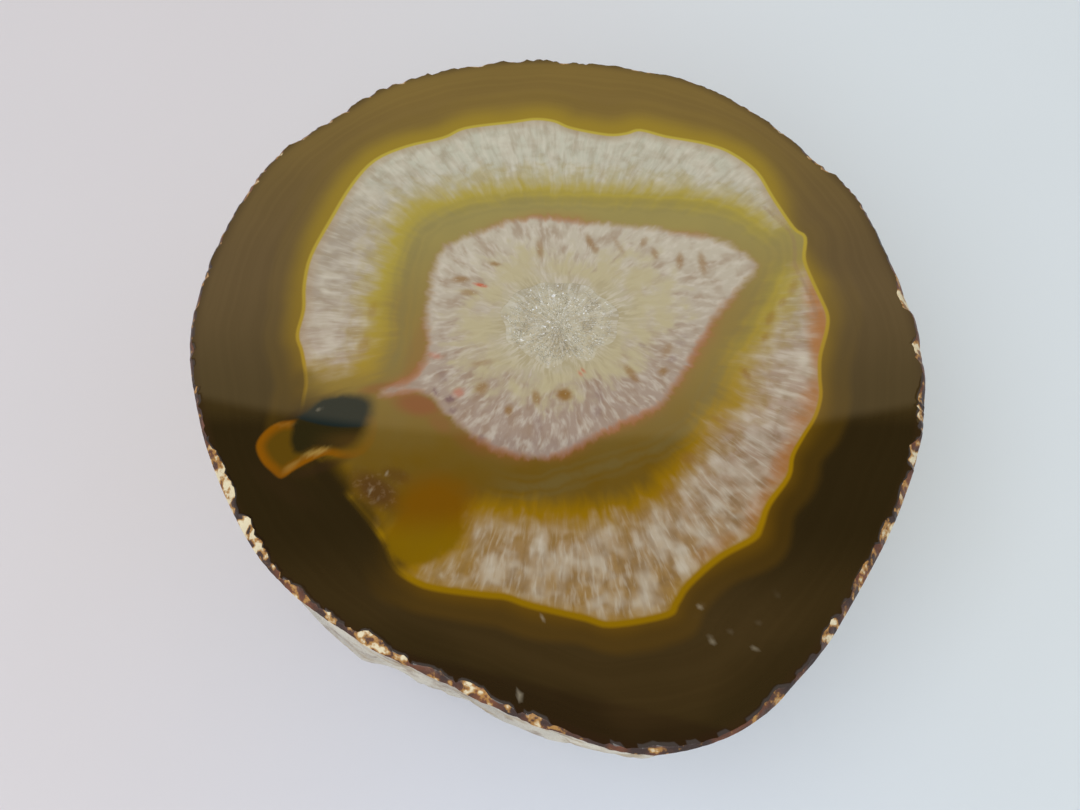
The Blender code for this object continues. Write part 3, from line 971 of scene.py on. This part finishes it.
    def inside(self, graph: Graph, outside: Socket) -> Socket:
        """The yellow line, the white quartz band and the olive band.

        Args:
            graph: The material's graph.
            outside: The colour outside the yellow line.

        Returns:
            The colour with these bands laid in.
        """
        y = graph.axes[1]
        line, olive = graph.stored("yellow_line"), graph.stored("olive_zone")
        streak = graph.fibres(0.8, 4.0, 1.8) - 0.5
        waver = graph.noise(0.3) - 0.5
        middle = waver * 2.0 + graph.stored("olive_middle")
        seen = 1 - graph.stored("plain_ribbon")
        ribbons = [(abs(middle - shift).fall(0.05, width, share) * seen, self.middle_line)
                   for shift, width, share in ((0.0, 1.2, 0.26), (1.7, 0.8, 0.12))]
        close = (streak * 3.0 + olive).rise(-5.2, -0.8, 0.9)
        red = graph.stored("core_edge").fall(0.2, 3.0) * graph.stored("red_edge")
        ragged = streak * 4.5 + (waver * 4.0 + olive)
        band = graph.layers(
            y.ramp((-24, self.olive_low), (4, self.olive_middle), (32, self.olive_top)),
            (graph.mottle(7.0, 1.8)[0] * 0.22, self.middle_line),
            (close * (1 - graph.stored("plain_olive")), self.ochre(graph)),
            *ribbons,
            (red * 0.26, self.red),
            (ragged.rise(-2.0, 2.8), self.quartz_band(graph)),
            (graph.stored("inner_line").fall(0.05, 0.6) * 0.4, self.core_gap),
        )
        open_line = 1 - graph.stored("line_gaps")
        blurred = line.fall(-6.0, 0.6)
        covered = (line.fall(-0.12, 0.12) - blurred) * open_line + blurred
        drawn = (abs(line) / (1.8 - y.rise(-36, -12, 0.8))).fall(0.1, 0.5)
        yellow = y.ramp((-46, self.line_front), (-24, self.line_low), (46, self.line_top))
        return graph.layers(outside, (covered, band), (drawn * open_line, yellow))

    def core(self, graph: Graph, around: Socket) -> Socket:
        """The crystalline core with its red edge, cream ring, druse ring and stained spots.

        Args:
            graph: The material's graph.
            around: The colour around the core.

        Returns:
            The colour with the core laid in.
        """
        teeth, thin = graph.fibres(2.1, 2.0, 2.2), graph.fibres(0.95, 1.3, 1.4)
        patch, grain = graph.mottle(3.4, 2.6)
        ring = ((teeth - 0.5) * 12.0 + graph.stored("cream_ring")).fall(-2.4, 2.4)
        crust = ((thin - 0.5) * 9.0 + graph.stored("druse_zone")).fall(-2.2, 2.0)
        crystals = graph.layers(self.druse, (patch.rise(0.3, 0.9, 0.7), self.druse_gap),
                                (thin.rise(0.44, 0.68, 0.6), self.core_needle))
        amber, plum, marks = (
            graph.stored(name) * grain.rise(0.2, 0.44, share)
            for name, share in (("amber_spots", 1.0), ("plum_spots", 0.9), ("red_marks", 0.9)))
        core = graph.layers(
            graph.axes[1].ramp((-14, self.core_low), (24, self.core_top)),
            (teeth.rise(0.42, 0.74, 0.55), self.core_gap),
            (thin.rise(0.42, 0.74, 0.5), self.core_needle),
            (ring * patch.rise(-0.2, 0.8, 0.85), self.cream),
            (crust * 0.85, crystals),
            (amber, self.amber_spot), (plum, self.plum_spot), (marks, self.red_mark),
        )
        outline = (thin - 0.5) * 2.2 + graph.stored("core_edge")
        drawn = abs(outline).fall(0.1, 1.2) * (graph.stored("red_edge") * 0.42 + 0.12)
        return graph.layers(around, (amber * 0.7, self.amber_spot), (outline.fall(-0.9, 0.8), core),
                            (drawn, self.red))

    def marks(self, graph: Graph, colour: Socket) -> Socket:
        """The pink halo, the golden patch, the amber hook with painted shadows and highlight, its dark tube
        with a painted reflection, and small flaws with painted glints.

        Args:
            graph: The material's graph.
            colour: The colour below these marks.

        Returns:
            The colour with the marks laid in.
        """
        x, y, _ = graph.axes
        waver = graph.noise(0.33, 3.0) - 0.5
        halo = graph.stored("pink_halo") * graph.stored("core_edge").rise(-0.2, 0.8)
        speck = graph.noise(1.3, 3.0).rise(0.50, 0.74, 0.7)
        gold = (waver * 2.6 + graph.stored("gold_patch")) / (y.rise(-32, -25, 2.6) + 1.0)
        hook = graph.stored("hook")
        amber = graph.mix(hook.fall(-2.2, -0.4), self.amber_rim, self.amber_inside)
        # Painted reflection: above a crisp curved edge the dark tube turns bluish, where the backdrop's
        # mirrored edge falls; below it the tube keeps its own near black.
        side = x + 33.0
        bowed = side * side * -0.025 + y
        tube_and_painted_reflection = bowed.ramp((-13.7, self.tube_low), (-13.1, self.tube_high))
        tube_and_painted_reflection = graph.mix(x.rise(-40, -32) * y.fall(-16, -13) * 0.9, tube_and_painted_reflection, self.tube_brown)
        tube = (waver * 1.2 + graph.stored("tube")) / (x.rise(-35, -29, 1.3) + 1.0)
        return graph.layers(
            colour,
            (halo * 0.8, self.pink),
            (graph.stored("grey_quartz") * 0.85, graph.mix(speck, self.grey_quartz, self.grey_needle)),
            (gold.fall(-1.1, 0.5, 0.92), y.ramp((-34, self.gold_green), (-27, self.gold))),
            (hook.fall(-0.3, 0.3) * (1 - x.rise(-38.5, -28.0, 0.85)), amber),
            (tube.fall(-0.9, 0.5), tube_and_painted_reflection),
            (graph.stored("shadows") * 0.75, self.brown_edge),
            # Painted highlight along the hook's edge.
            (graph.stored("cream_flash"), self.cream_flash),
            # Scratches and grains, and painted glints.
            (graph.stored("flecks") * 0.6, self.fleck),
        )


@dataclass(frozen=True)
class RimFinish:
    """Colours of the freshly broken agate along the rim."""

    dark: Colour = (0.030, 0.011, 0.005)
    rust: Colour = (0.150, 0.042, 0.010)
    amber: Colour = (0.400, 0.190, 0.035)
    cream: Colour = (0.740, 0.640, 0.420)
    roughness: float = 0.42

    def build(self) -> bpy.types.Material:
        """Make the broken rim's material.

        Returns:
            The material.
        """
        material, graph, shader = new_material("broken rim")
        small, grain = graph.mottle(1.5, 2.8)
        large, _ = graph.mottle(5.0, 2.4)
        pale = graph.stored("chipped") + small - 0.5
        colour = graph.layers(
            self.dark,
            (large.rise(0.3, 0.9), self.rust),
            (pale.rise(0.35, 0.62), self.amber),
            (pale.rise(0.6, 0.95), self.cream),
        )
        graph.fill(shader, Base_Color=colour, Roughness=self.roughness,
                   Normal=graph.bump(grain, 0.6, 0.2 * MM))
        return material


@dataclass(frozen=True)
class SkinFinish:
    """Colours of the weathered skin."""

    pale: Colour = (0.740, 0.690, 0.570)
    grey: Colour = (0.470, 0.440, 0.375)
    ochre: Colour = (0.440, 0.310, 0.150)
    rust: Colour = (0.210, 0.110, 0.055)
    dust: Colour = (0.730, 0.690, 0.600)
    roughness: float = 0.86

    def build(self) -> bpy.types.Material:
        """Make the skin's material.

        Returns:
            The material.
        """
        material, graph, shader = new_material("weathered skin")
        large, cloud = graph.mottle(19.0, 2.6)
        medium, lumps = graph.mottle(5.5, 2.6)
        small, grain = graph.mottle(1.5, 3.0)
        colour = graph.layers(
            self.grey,
            (large, self.pale),
            (medium.rise(0.5, 0.95, 0.6), self.ochre),
            (cloud.rise(0.52, 0.68, 0.55), self.rust),
            (graph.stored("hollow").rise(0.05, 0.9, 0.75), self.rust),
            (graph.stored("raised") * small * 0.55, self.dust),
            (grain.rise(0.55, 0.75, 0.4), self.rust),
        )
        rough = graph.node("MapRange", grain, 0.3, 0.7, self.roughness - 0.14, self.roughness + 0.1)
        graph.fill(shader, Base_Color=colour, Roughness=rough.outputs["Result"],
                   Normal=graph.bump(lumps * 0.8 + grain, 0.8, 0.35 * MM))
        return material


@dataclass(frozen=True)
class CrystalFinish:
    """Milky quartz of the druse, with the same radial needles as the face around it."""

    milky: Colour = (0.490, 0.450, 0.335)
    stained: Colour = (0.360, 0.310, 0.215)
    needle: Colour = (0.640, 0.610, 0.540)
    sparkle: Colour = (0.900, 0.920, 0.950)
    roughness: float = 0.22
    clear: float = 0.04
    index: float = 1.54

    def build(self) -> bpy.types.Material:
        """Make the crystals' material.

        Returns:
            The material.
        """
        material, graph, shader = new_material("druse quartz")
        patch, _ = graph.mottle(3.0, 2.4)
        colour = graph.layers(
            self.milky,
            (patch.rise(0.3, 0.95, 0.8), self.stained),
            (graph.fibres(1.3, 1.5, 1.4).rise(0.44, 0.68, 0.5), self.needle),
            (graph.noise(1.1, 3.0).rise(0.66, 0.72, 0.8), self.sparkle),
        )
        graph.fill(shader, Base_Color=colour, Roughness=self.roughness, IOR=self.index,
                   Transmission_Weight=self.clear)
        return material


@dataclass(frozen=True)
class FloorFinish:
    """A pale surface, pinkish and dimmer at the left, bluish and brighter at the right: painted warm and
    cool light.
    """

    left: Colour = (0.708, 0.690, 0.738)
    right: Colour = (0.730, 0.800, 0.865)
    roughness: float = 0.6

    def build(self) -> bpy.types.Material:
        """Make the floor's material.

        Returns:
            The material.
        """
        material, graph, shader = new_material("pale floor")
        patch, _ = graph.mottle(60.0, 1.0)
        # Painted light: the left-to-right shift from a warmer, dimmer pale to a cooler, brighter one.
        colour = graph.layers(self.left, (graph.axes[0].rise(-100, 100), self.right),
                              (patch * 0.03, (0, 0, 0)))
        graph.fill(shader, Base_Color=colour, Roughness=self.roughness)
        return material


def add_piece(name: str, bm: bmesh.types.BMesh) -> bpy.types.Object:
    """Turn a bmesh into an object at the origin.

    Args:
        name: The object's name.
        bm: The shape, which is freed.

    Returns:
        The new object.
    """
    mesh = bpy.data.meshes.new(name)
    bm.to_mesh(mesh)
    bm.free()
    piece = bpy.data.objects.new(name, mesh)
    bpy.context.scene.collection.objects.link(piece)
    return piece


def join_to_body(piece: bpy.types.Object, node: str) -> None:
    """Let a piece stand for a node and ride on the body, and log its face count."""
    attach(piece, BODY)
    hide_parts(node)
    LOG.info("%s: %d faces", piece.name, len(piece.data.polygons))


@dataclass
class Stone:
    """The nodule half: one closed turned mesh whose rings are moved to the stone's form.

    Attributes:
        form: The rim, bowl and relief.
        pocket: The hollow in the face.
        pattern: The bands of the face.
        columns: Mesh columns round the stone.
        rings: Rings in each stretch of the section.
        inset: Least width of the broken edge.
        chip_width: How much wider a full chip makes it.
        edge_drop: Least height of the broken edge.
        chip_drop: How much higher a full chip makes it.
        pale_rim: Turn, half width and strength of each pale stretch of the edge, in degrees.
        flat: Sharpest bend between two faces that is still shaded smooth.
    """

    form: NoduleForm = NoduleForm()
    pocket: Pocket = Pocket()
    pattern: FacePattern = FacePattern()
    columns: int = 600
    rings: dict[Part, int] = field(default_factory=lambda: {
        Part.POCKET: 8, Part.FACE: 84, Part.RIM: 8, Part.SKIN: 60})
    inset: float = 0.3
    chip_width: float = 1.35
    edge_drop: float = 0.45
    chip_drop: float = 1.3
    pale_rim: tuple[tuple[float, float, float], ...] = (
        (226, 34, 1.0), (4, 16, 0.8), (322, 16, 0.5), (98, 30, 0.6), (137, 26, 0.75), (52, 24, 0.75))
    flat: float = math.radians(35)

    def starts(self) -> dict[Part, int]:
        """Count the rings from the middle of the pocket.

        Returns:
            The first ring of each stretch.
        """
        first, found = 1, {}
        for part in Part:
            found[part] = first
            first += self.rings[part]
        return found

    def turned_drum(self) -> bmesh.types.BMesh:
        """Spin a straight section into a closed drum whose height counts the rings.

        Returns:
            The drum, with ring k at height -k.
        """
        last = sum(self.rings.values()) + 1
        bm = bmesh.new()
        section = [bm.verts.new((0.0 if ring in (0, last) else 1.0, 0, -ring)) for ring in range(last + 1)]
        edges = [bm.edges.new(pair) for pair in zip(section, section[1:])]
        bmesh.ops.spin(bm, geom=section + edges, cent=(0, 0, 0), axis=(0, 0, 1), angle=TAU,
                       steps=self.columns, use_merge=True)
        bmesh.ops.remove_doubles(bm, verts=bm.verts[:], dist=1e-5)
        bmesh.ops.recalc_face_normals(bm, faces=bm.faces[:])
        return bm

    def silhouette(self, turns: np.ndarray) -> np.ndarray:
        """Where the rim's silhouette meets each turn about the pocket's middle.

        Args:
            turns: Turns about the pocket's middle.

        Returns:
            An array of x, y rows in millimetres.
        """
        about = np.linspace(0, TAU, 4000, endpoint=False)
        middle = (self.pocket.x, self.pocket.y)
        gap = self.form.rim_radius(about)[:, None] * level_ways(about)[:, :2] - middle
        seen = np.arctan2(gap[:, 1], gap[:, 0]) % TAU
        order = np.argsort(seen)
        reach = np.interp(turns % TAU, seen[order], np.hypot(*gap.T)[order], period=TAU)
        return level_ways(turns)[:, :2] * reach[:, None] + middle

    def place(self, ring: np.ndarray, turns: np.ndarray) -> tuple[np.ndarray, dict[str, np.ndarray]]:
        """Work out every vertex of the stone.

        Args:
            ring: Ring of each vertex.
            turns: Turn of each vertex about the pocket's middle.

        Returns:
            The points in millimetres, and the values that the materials read.
        """
        first = self.starts()
        middle = np.array([self.pocket.x, self.pocket.y])
        rim = self.silhouette(turns)
        about = np.arctan2(rim[:, 1], rim[:, 0])
        chip = self.form.chips(about)
        out = rim - middle
        reach = np.hypot(*out.T)
        way = out / reach[:, None]
        mouth = self.pocket.radius(turns)
        bright = self.paleness(about)
        edge = reach - self.inset - self.chip_width * chip * (0.75 + 0.45 * bright)
        points = np.zeros((len(ring), 3))
        at = np.zeros(len(ring))
        down = np.zeros(len(ring))

        pocket = ring < first[Part.FACE]
        share = np.clip(ring / self.rings[Part.POCKET], 0, 1)
        at[pocket] = (share * (mouth - 0.1))[pocket]
        down[pocket] = self.pocket.floor(share)[pocket] * 0.92
        at[ring == 0] = 0

        face = (ring >= first[Part.FACE]) & (ring < first[Part.RIM])
        share = (ring - first[Part.FACE]) / (self.rings[Part.FACE] - 1)
        at[face] = (mouth + (edge - mouth) * share)[face]

        broken = (ring >= first[Part.RIM]) & (ring < first[Part.SKIN])
        share = np.clip((ring - first[Part.RIM] + 1) / self.rings[Part.RIM], 0, 1)
        drop = self.edge_drop + self.chip_drop * chip
        at[broken] = (edge + (reach - edge) * share ** 0.8)[broken]
        down[broken] = (drop * share ** 1.25)[broken]
        points[:, :2] = middle + way * at[:, None]
        points[:, 2] = self.form.face_height - down
        rough = 0.26 * noise_at(points[broken], 1.3) + 0.14 * noise_at(points[broken], 0.6, 5)
        fade = np.minimum(1, 4 * share[broken] * (1 - share[broken]) + 0.1)
        points[broken, 2] += np.minimum(rough * fade, 0.2 * down[broken])
        points[broken, :2] -= way[broken] * np.maximum(rough * fade, 0)[:, None]

        skin = ring >= first[Part.SKIN]
        level = np.clip((ring - first[Part.SKIN] + 1) / self.rings[Part.SKIN], 0, 1) ** 1.08
        low = np.clip(0.014 + 0.986 * level, 0, 1)[skin]
        bowl, outward = self.form.bowl(about[skin], low)
        relief = self.form.relief(about[skin], low, bowl)
        points[skin] = bowl + outward * relief[:, None]
        hug = 1 - smooth(low, 0.014, 0.06)
        top = self.form.face_height - drop[skin] - 0.5
        points[skin, 2] += hug * np.minimum(top - points[skin, 2], 0)
        points[ring == ring.max()] = (0, 0, 0)
        hollow, raised = np.zeros(len(ring)), np.zeros(len(ring))
        hollow[skin] = np.clip(-relief / 2.5, 0, 1)
        raised[skin] = np.clip(relief / 2.0, 0, 1)
        values = self.pattern.fields(points[face, :2], (reach - at)[face])
        stored = {name: np.zeros(len(ring)) for name in values}
        for name, found in values.items():
            stored[name][face] = found
        stored["druse_zone"][pocket] = -8
        stored["core_edge"][pocket] = stored["cream_ring"][pocket] = -14
        stored["olive_zone"][pocket] = stored["yellow_line"][pocket] = -30
        stored.update(hollow=hollow, raised=raised, chipped=chip * (0.4 + 0.6 * bright))
        return points, stored

    def paleness(self, about: np.ndarray) -> np.ndarray:
        """How pale the broken rim is, most of all at the front left and on the right.

        Args:
            about: Turns about the stone's middle.

        Returns:
            One value from 0 to 1 for each turn.
        """
        bright = np.zeros(len(about))
        for middle, half_width, strength in self.pale_rim:
            fade = smooth(turn_gap(about, math.radians(middle)), 0.3, math.radians(half_width) + 0.3)
            bright = np.maximum(bright, strength * (1 - fade))
        return bright

    def build(self) -> bpy.types.Object:
        """Build and dress the stone.

        Returns:
            The stone's object.
        """
        piece = add_piece("polished_stone", self.turned_drum())
        mesh = piece.data
        drum = np.empty(len(mesh.vertices) * 3)
        mesh.vertices.foreach_get("co", drum)
        drum = drum.reshape(-1, 3)
        ring = np.rint(-drum[:, 2]).astype(int)
        points, values = self.place(ring, np.arctan2(drum[:, 1], drum[:, 0]))
        low, high = (np.array(corner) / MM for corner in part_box("agate_nodule"))
        mesh.vertices.foreach_set("co", (np.clip(points, low, high) * MM).ravel())
        for name, found in values.items():
            mesh.attributes.new(name, "FLOAT", "POINT").data.foreach_set("value", found)
        for finish in (AgateFinish(), RimFinish(), SkinFinish()):
            mesh.materials.append(finish.build())
        first = self.starts()
        corners = np.empty(len(mesh.loops), int)
        mesh.loops.foreach_get("vertex_index", corners)
        begins = np.empty(len(mesh.polygons), int)
        mesh.polygons.foreach_get("loop_start", begins)
        upper = np.minimum.reduceat(ring[corners], begins)
        slots = (upper >= first[Part.RIM] - 1).astype(int) + (upper >= first[Part.SKIN] - 1)
        mesh.polygons.foreach_set("material_index", slots)
        mesh.shade_smooth()
        mesh.set_sharp_from_angle(angle=self.flat)
        mesh.update()
        join_to_body(piece, "agate_nodule")
        return piece


@dataclass
class Druse:
    """The crust of quartz crystals in the pocket, in millimetres.

    The cells are those of a ball with its corners cut off, pressed onto the pocket's floor.

    Attributes:
        pocket: The hollow that it fills.
        seed: Start of the random draws.
        cap: Half angle of the ball's cap that becomes the crust.
        side_gap: Room between the crust and the pocket's wall.
        lift: Height of the crust's underside over the floor in the middle and at the edge.
        thickness: Thickness of the sheet under the crystals.
        tip: Least and greatest rise of a crystal's point above its corners.
        shift: Greatest sideways shift of a point.
        jitter: Greatest shift of a cell's corners.
        flat: Sharpest bend between two faces that is still shaded smooth.
        headroom: Least depth of the points below the polished face.
    """

    pocket: Pocket = Pocket()
    seed: int = 11
    cap: float = math.radians(52)
    side_gap: float = -0.02
    lift: tuple[float, float] = (3.6, 1.45)
    thickness: float = 0.3
    tip: tuple[float, float] = (0.0, 0.26)
    shift: float = 0.14
    jitter: float = 0.11
    flat: float = math.radians(42)
    headroom: float = 0.04

    def sheet(self, rng: random.Random) -> tuple[bmesh.types.BMesh, list[bmesh.types.BMFace]]:
        """A thin closed sheet of six-sided cells over the pocket's floor.

        Args:
            rng: The random draws.

        Returns:
            The sheet in millimetres, and its upper faces, in the same order on every run.
        """
        bm = bmesh.new()
        bmesh.ops.create_icosphere(bm, subdivisions=5, radius=1)
        far = [v for v in bm.verts if v.co.z > 0.2 - math.cos(self.cap)]
        bmesh.ops.delete(bm, geom=far, context="VERTS")
        bmesh.ops.bevel(bm, geom=bm.verts[:], offset=100 / 3, offset_type="PERCENT", segments=1,
                        affect="VERTICES", profile=0.5, material=-1)
        outside = [f for f in bm.faces if f.calc_center_median().normalized().z > -math.cos(self.cap)]
        bmesh.ops.delete(bm, geom=outside, context="FACES")
        angles = np.array([math.acos(-vert.co.normalized().z) for vert in bm.verts])
        turns = np.array([math.atan2(vert.co.y, vert.co.x) for vert in bm.verts])
        rims = np.array([vert.is_boundary for vert in bm.verts])
        reaches = np.where(rims, 1, angles / angles.max())
        radii = (self.pocket.radius(turns) - self.side_gap) * reaches
        lifts = self.lift[0] + (self.lift[1] - self.lift[0]) * reaches ** 2
        heights = FACE_HEIGHT - self.pocket.floor(reaches) + lifts
        for vert, turn, reach, radius, height in zip(bm.verts, turns, reaches, radii, heights):
            jitter = self.jitter * (1 - reach ** 4)
            vert.co = (self.pocket.x + math.cos(turn) * radius + rng.uniform(-jitter, jitter),
                       self.pocket.y + math.sin(turn) * radius + rng.uniform(-jitter, jitter),
                       height + rng.uniform(-jitter, 0))
        raised = bmesh.ops.extrude_face_region(bm, geom=bm.faces[:])["geom"]
        upper = [item for item in raised if isinstance(item, bmesh.types.BMFace)]
        upper.sort(key=lambda cell: sorted(vert.co[:] for vert in cell.verts))
        bmesh.ops.translate(bm, verts=[item for item in raised if isinstance(item, bmesh.types.BMVert)],
                            vec=(0, 0, self.thickness))
        bmesh.ops.recalc_face_normals(bm, faces=bm.faces[:])
        return bm, upper

    def grow(self, bm: bmesh.types.BMesh, cells: list[bmesh.types.BMFace], rng: random.Random) -> None:
        """Raise every cell into a low, uneven point.

        Args:
            bm: The sheet.
            cells: Its upper faces.
            rng: The random draws.
        """
        highest = FACE_HEIGHT - self.headroom
        for cell in cells:
            peak = bmesh.ops.poke(bm, faces=[cell], offset=0)["verts"][0]
            rise = min(rng.uniform(*self.tip), highest - peak.co.z)
            peak.co += Vector((rng.uniform(-1, 1) * self.shift, rng.uniform(-1, 1) * self.shift, rise))

    def build(self) -> bpy.types.Object:
        """Build and dress the druse.

        Returns:
            The druse's object.
        """
        rng = random.Random(self.seed)
        bm, cells = self.sheet(rng)
        self.grow(bm, cells, rng)
        bmesh.ops.scale(bm, verts=bm.verts[:], vec=(MM, MM, MM))
        piece = add_piece("druse_crystals", bm)
        piece.data.materials.append(CrystalFinish().build())
        piece.data.shade_smooth()
        piece.data.set_sharp_from_angle(angle=self.flat)
        join_to_body(piece, "crystal_crust")
        return piece


@dataclass
class Studio:
    """The plain floor, the soft light and the camera.

    Attributes:
        camera_place: The camera, in metres.
        camera_tilt: Degrees that it looks down.
        lens: Focal length in millimetres.
        floor_size: Side of the floor in metres.
        floor_gap: Room between the floor and the stone's foot, in metres.
        key_place: The soft lamp, in metres.
        key_size: Its side in metres.
        key_power: Its power in watts.
        wall: Light of the surroundings behind the stone.
        haze: Light of the surroundings just below the wall's edge.
        top: Light of the surroundings overhead.
        front: Light of the surroundings on the camera's side.
    """

    camera_place: tuple[float, float, float] = (-0.0026, -0.1215, 0.2563)
    camera_tilt: float = 60.0
    lens: float = 46.7
    floor_size: float = 6.0
    floor_gap: float = 0.00005
    key_place: tuple[float, float, float] = (-0.28, -0.62, 1.0)
    key_size: float = 0.9
    key_power: float = 7.0
    wall: Colour = (0.86, 0.66, 0.32)
    haze: Colour = (0.180, 0.135, 0.035)
    top: Colour = (0.015, 0.012, 0.010)
    front: Colour = (0.66, 0.70, 0.76)

    def build(self) -> None:
        """Build the floor, the surroundings, the lamp and the camera."""
        self.add_floor()
        self.add_surroundings()
        self.add_lamp()
        self.add_camera()
        bpy.context.scene.view_settings.view_transform = "Standard"

    def add_floor(self) -> None:
        """Lay the pale floor."""
        bm = bmesh.new()
        bmesh.ops.create_grid(bm, x_segments=8, y_segments=8, size=self.floor_size / 2)
        floor = add_piece("floor", bm)
        floor.location.z = -self.floor_gap
        floor.data.materials.append(FloorFinish().build())

    def add_surroundings(self) -> None:
        """Light from all round: a pale wall behind, a dark ceiling above it, and a pale front.

        The wall's upper edge is what the polished face mirrors as a soft-edged haze on its far half.
        """
        world = bpy.data.worlds.new("studio")
        bpy.context.scene.world = world
        world.use_nodes = True
        graph = Graph(world.node_tree)
        right, back, up = graph.split(graph.node("TexCoord").outputs["Generated"])
        up = graph.math("MAXIMUM", up, 0.001)
        depth = back / up
        side = right / up - 0.03
        front = graph.math("MAXIMUM", depth.fall(0.08, 0.27), abs(side).rise(0.45, 0.7))
        colour = graph.layers(
            self.top,
            ((side * 0.25 + depth).rise(0.327, 0.335), self.haze),
            (front, self.front),
            ((depth - side * side * 0.4).rise(0.540, 0.553), self.wall),
        )
        graph.fill(world.node_tree.nodes["Background"], Color=colour, Strength=1.0)

    def add_lamp(self) -> None:
        """Hang the soft lamp and point it at the stone."""
        data = bpy.data.lights.new("soft lamp", "AREA")
        data.size = self.key_size
        data.energy = self.key_power
        lamp = bpy.data.objects.new("soft lamp", data)
        lamp.location = self.key_place
        lamp.rotation_euler = (-Vector(self.key_place)).to_track_quat("-Z", "Y").to_euler()
        bpy.context.scene.collection.objects.link(lamp)

    def add_camera(self) -> None:
        """Set the camera at the photograph's angle."""
        data = bpy.data.cameras.new("camera")
        data.lens = self.lens
        data.clip_start = 0.01
        camera = bpy.data.objects.new("camera", data)
        camera.location = self.camera_place
        camera.rotation_euler = (math.radians(90 - self.camera_tilt), 0, 0)
        bpy.context.scene.collection.objects.link(camera)
        bpy.context.scene.camera = camera


def main() -> None:
    """Build the stone, the druse and the studio in order, logging each piece's face count."""
    logging.basicConfig(level=logging.INFO, format="%(name)s %(message)s")
    build_fibres()
    build_mottle()
    Stone().build()
    Druse().build()
    Studio().build()


if __name__ == "__main__":
    main()
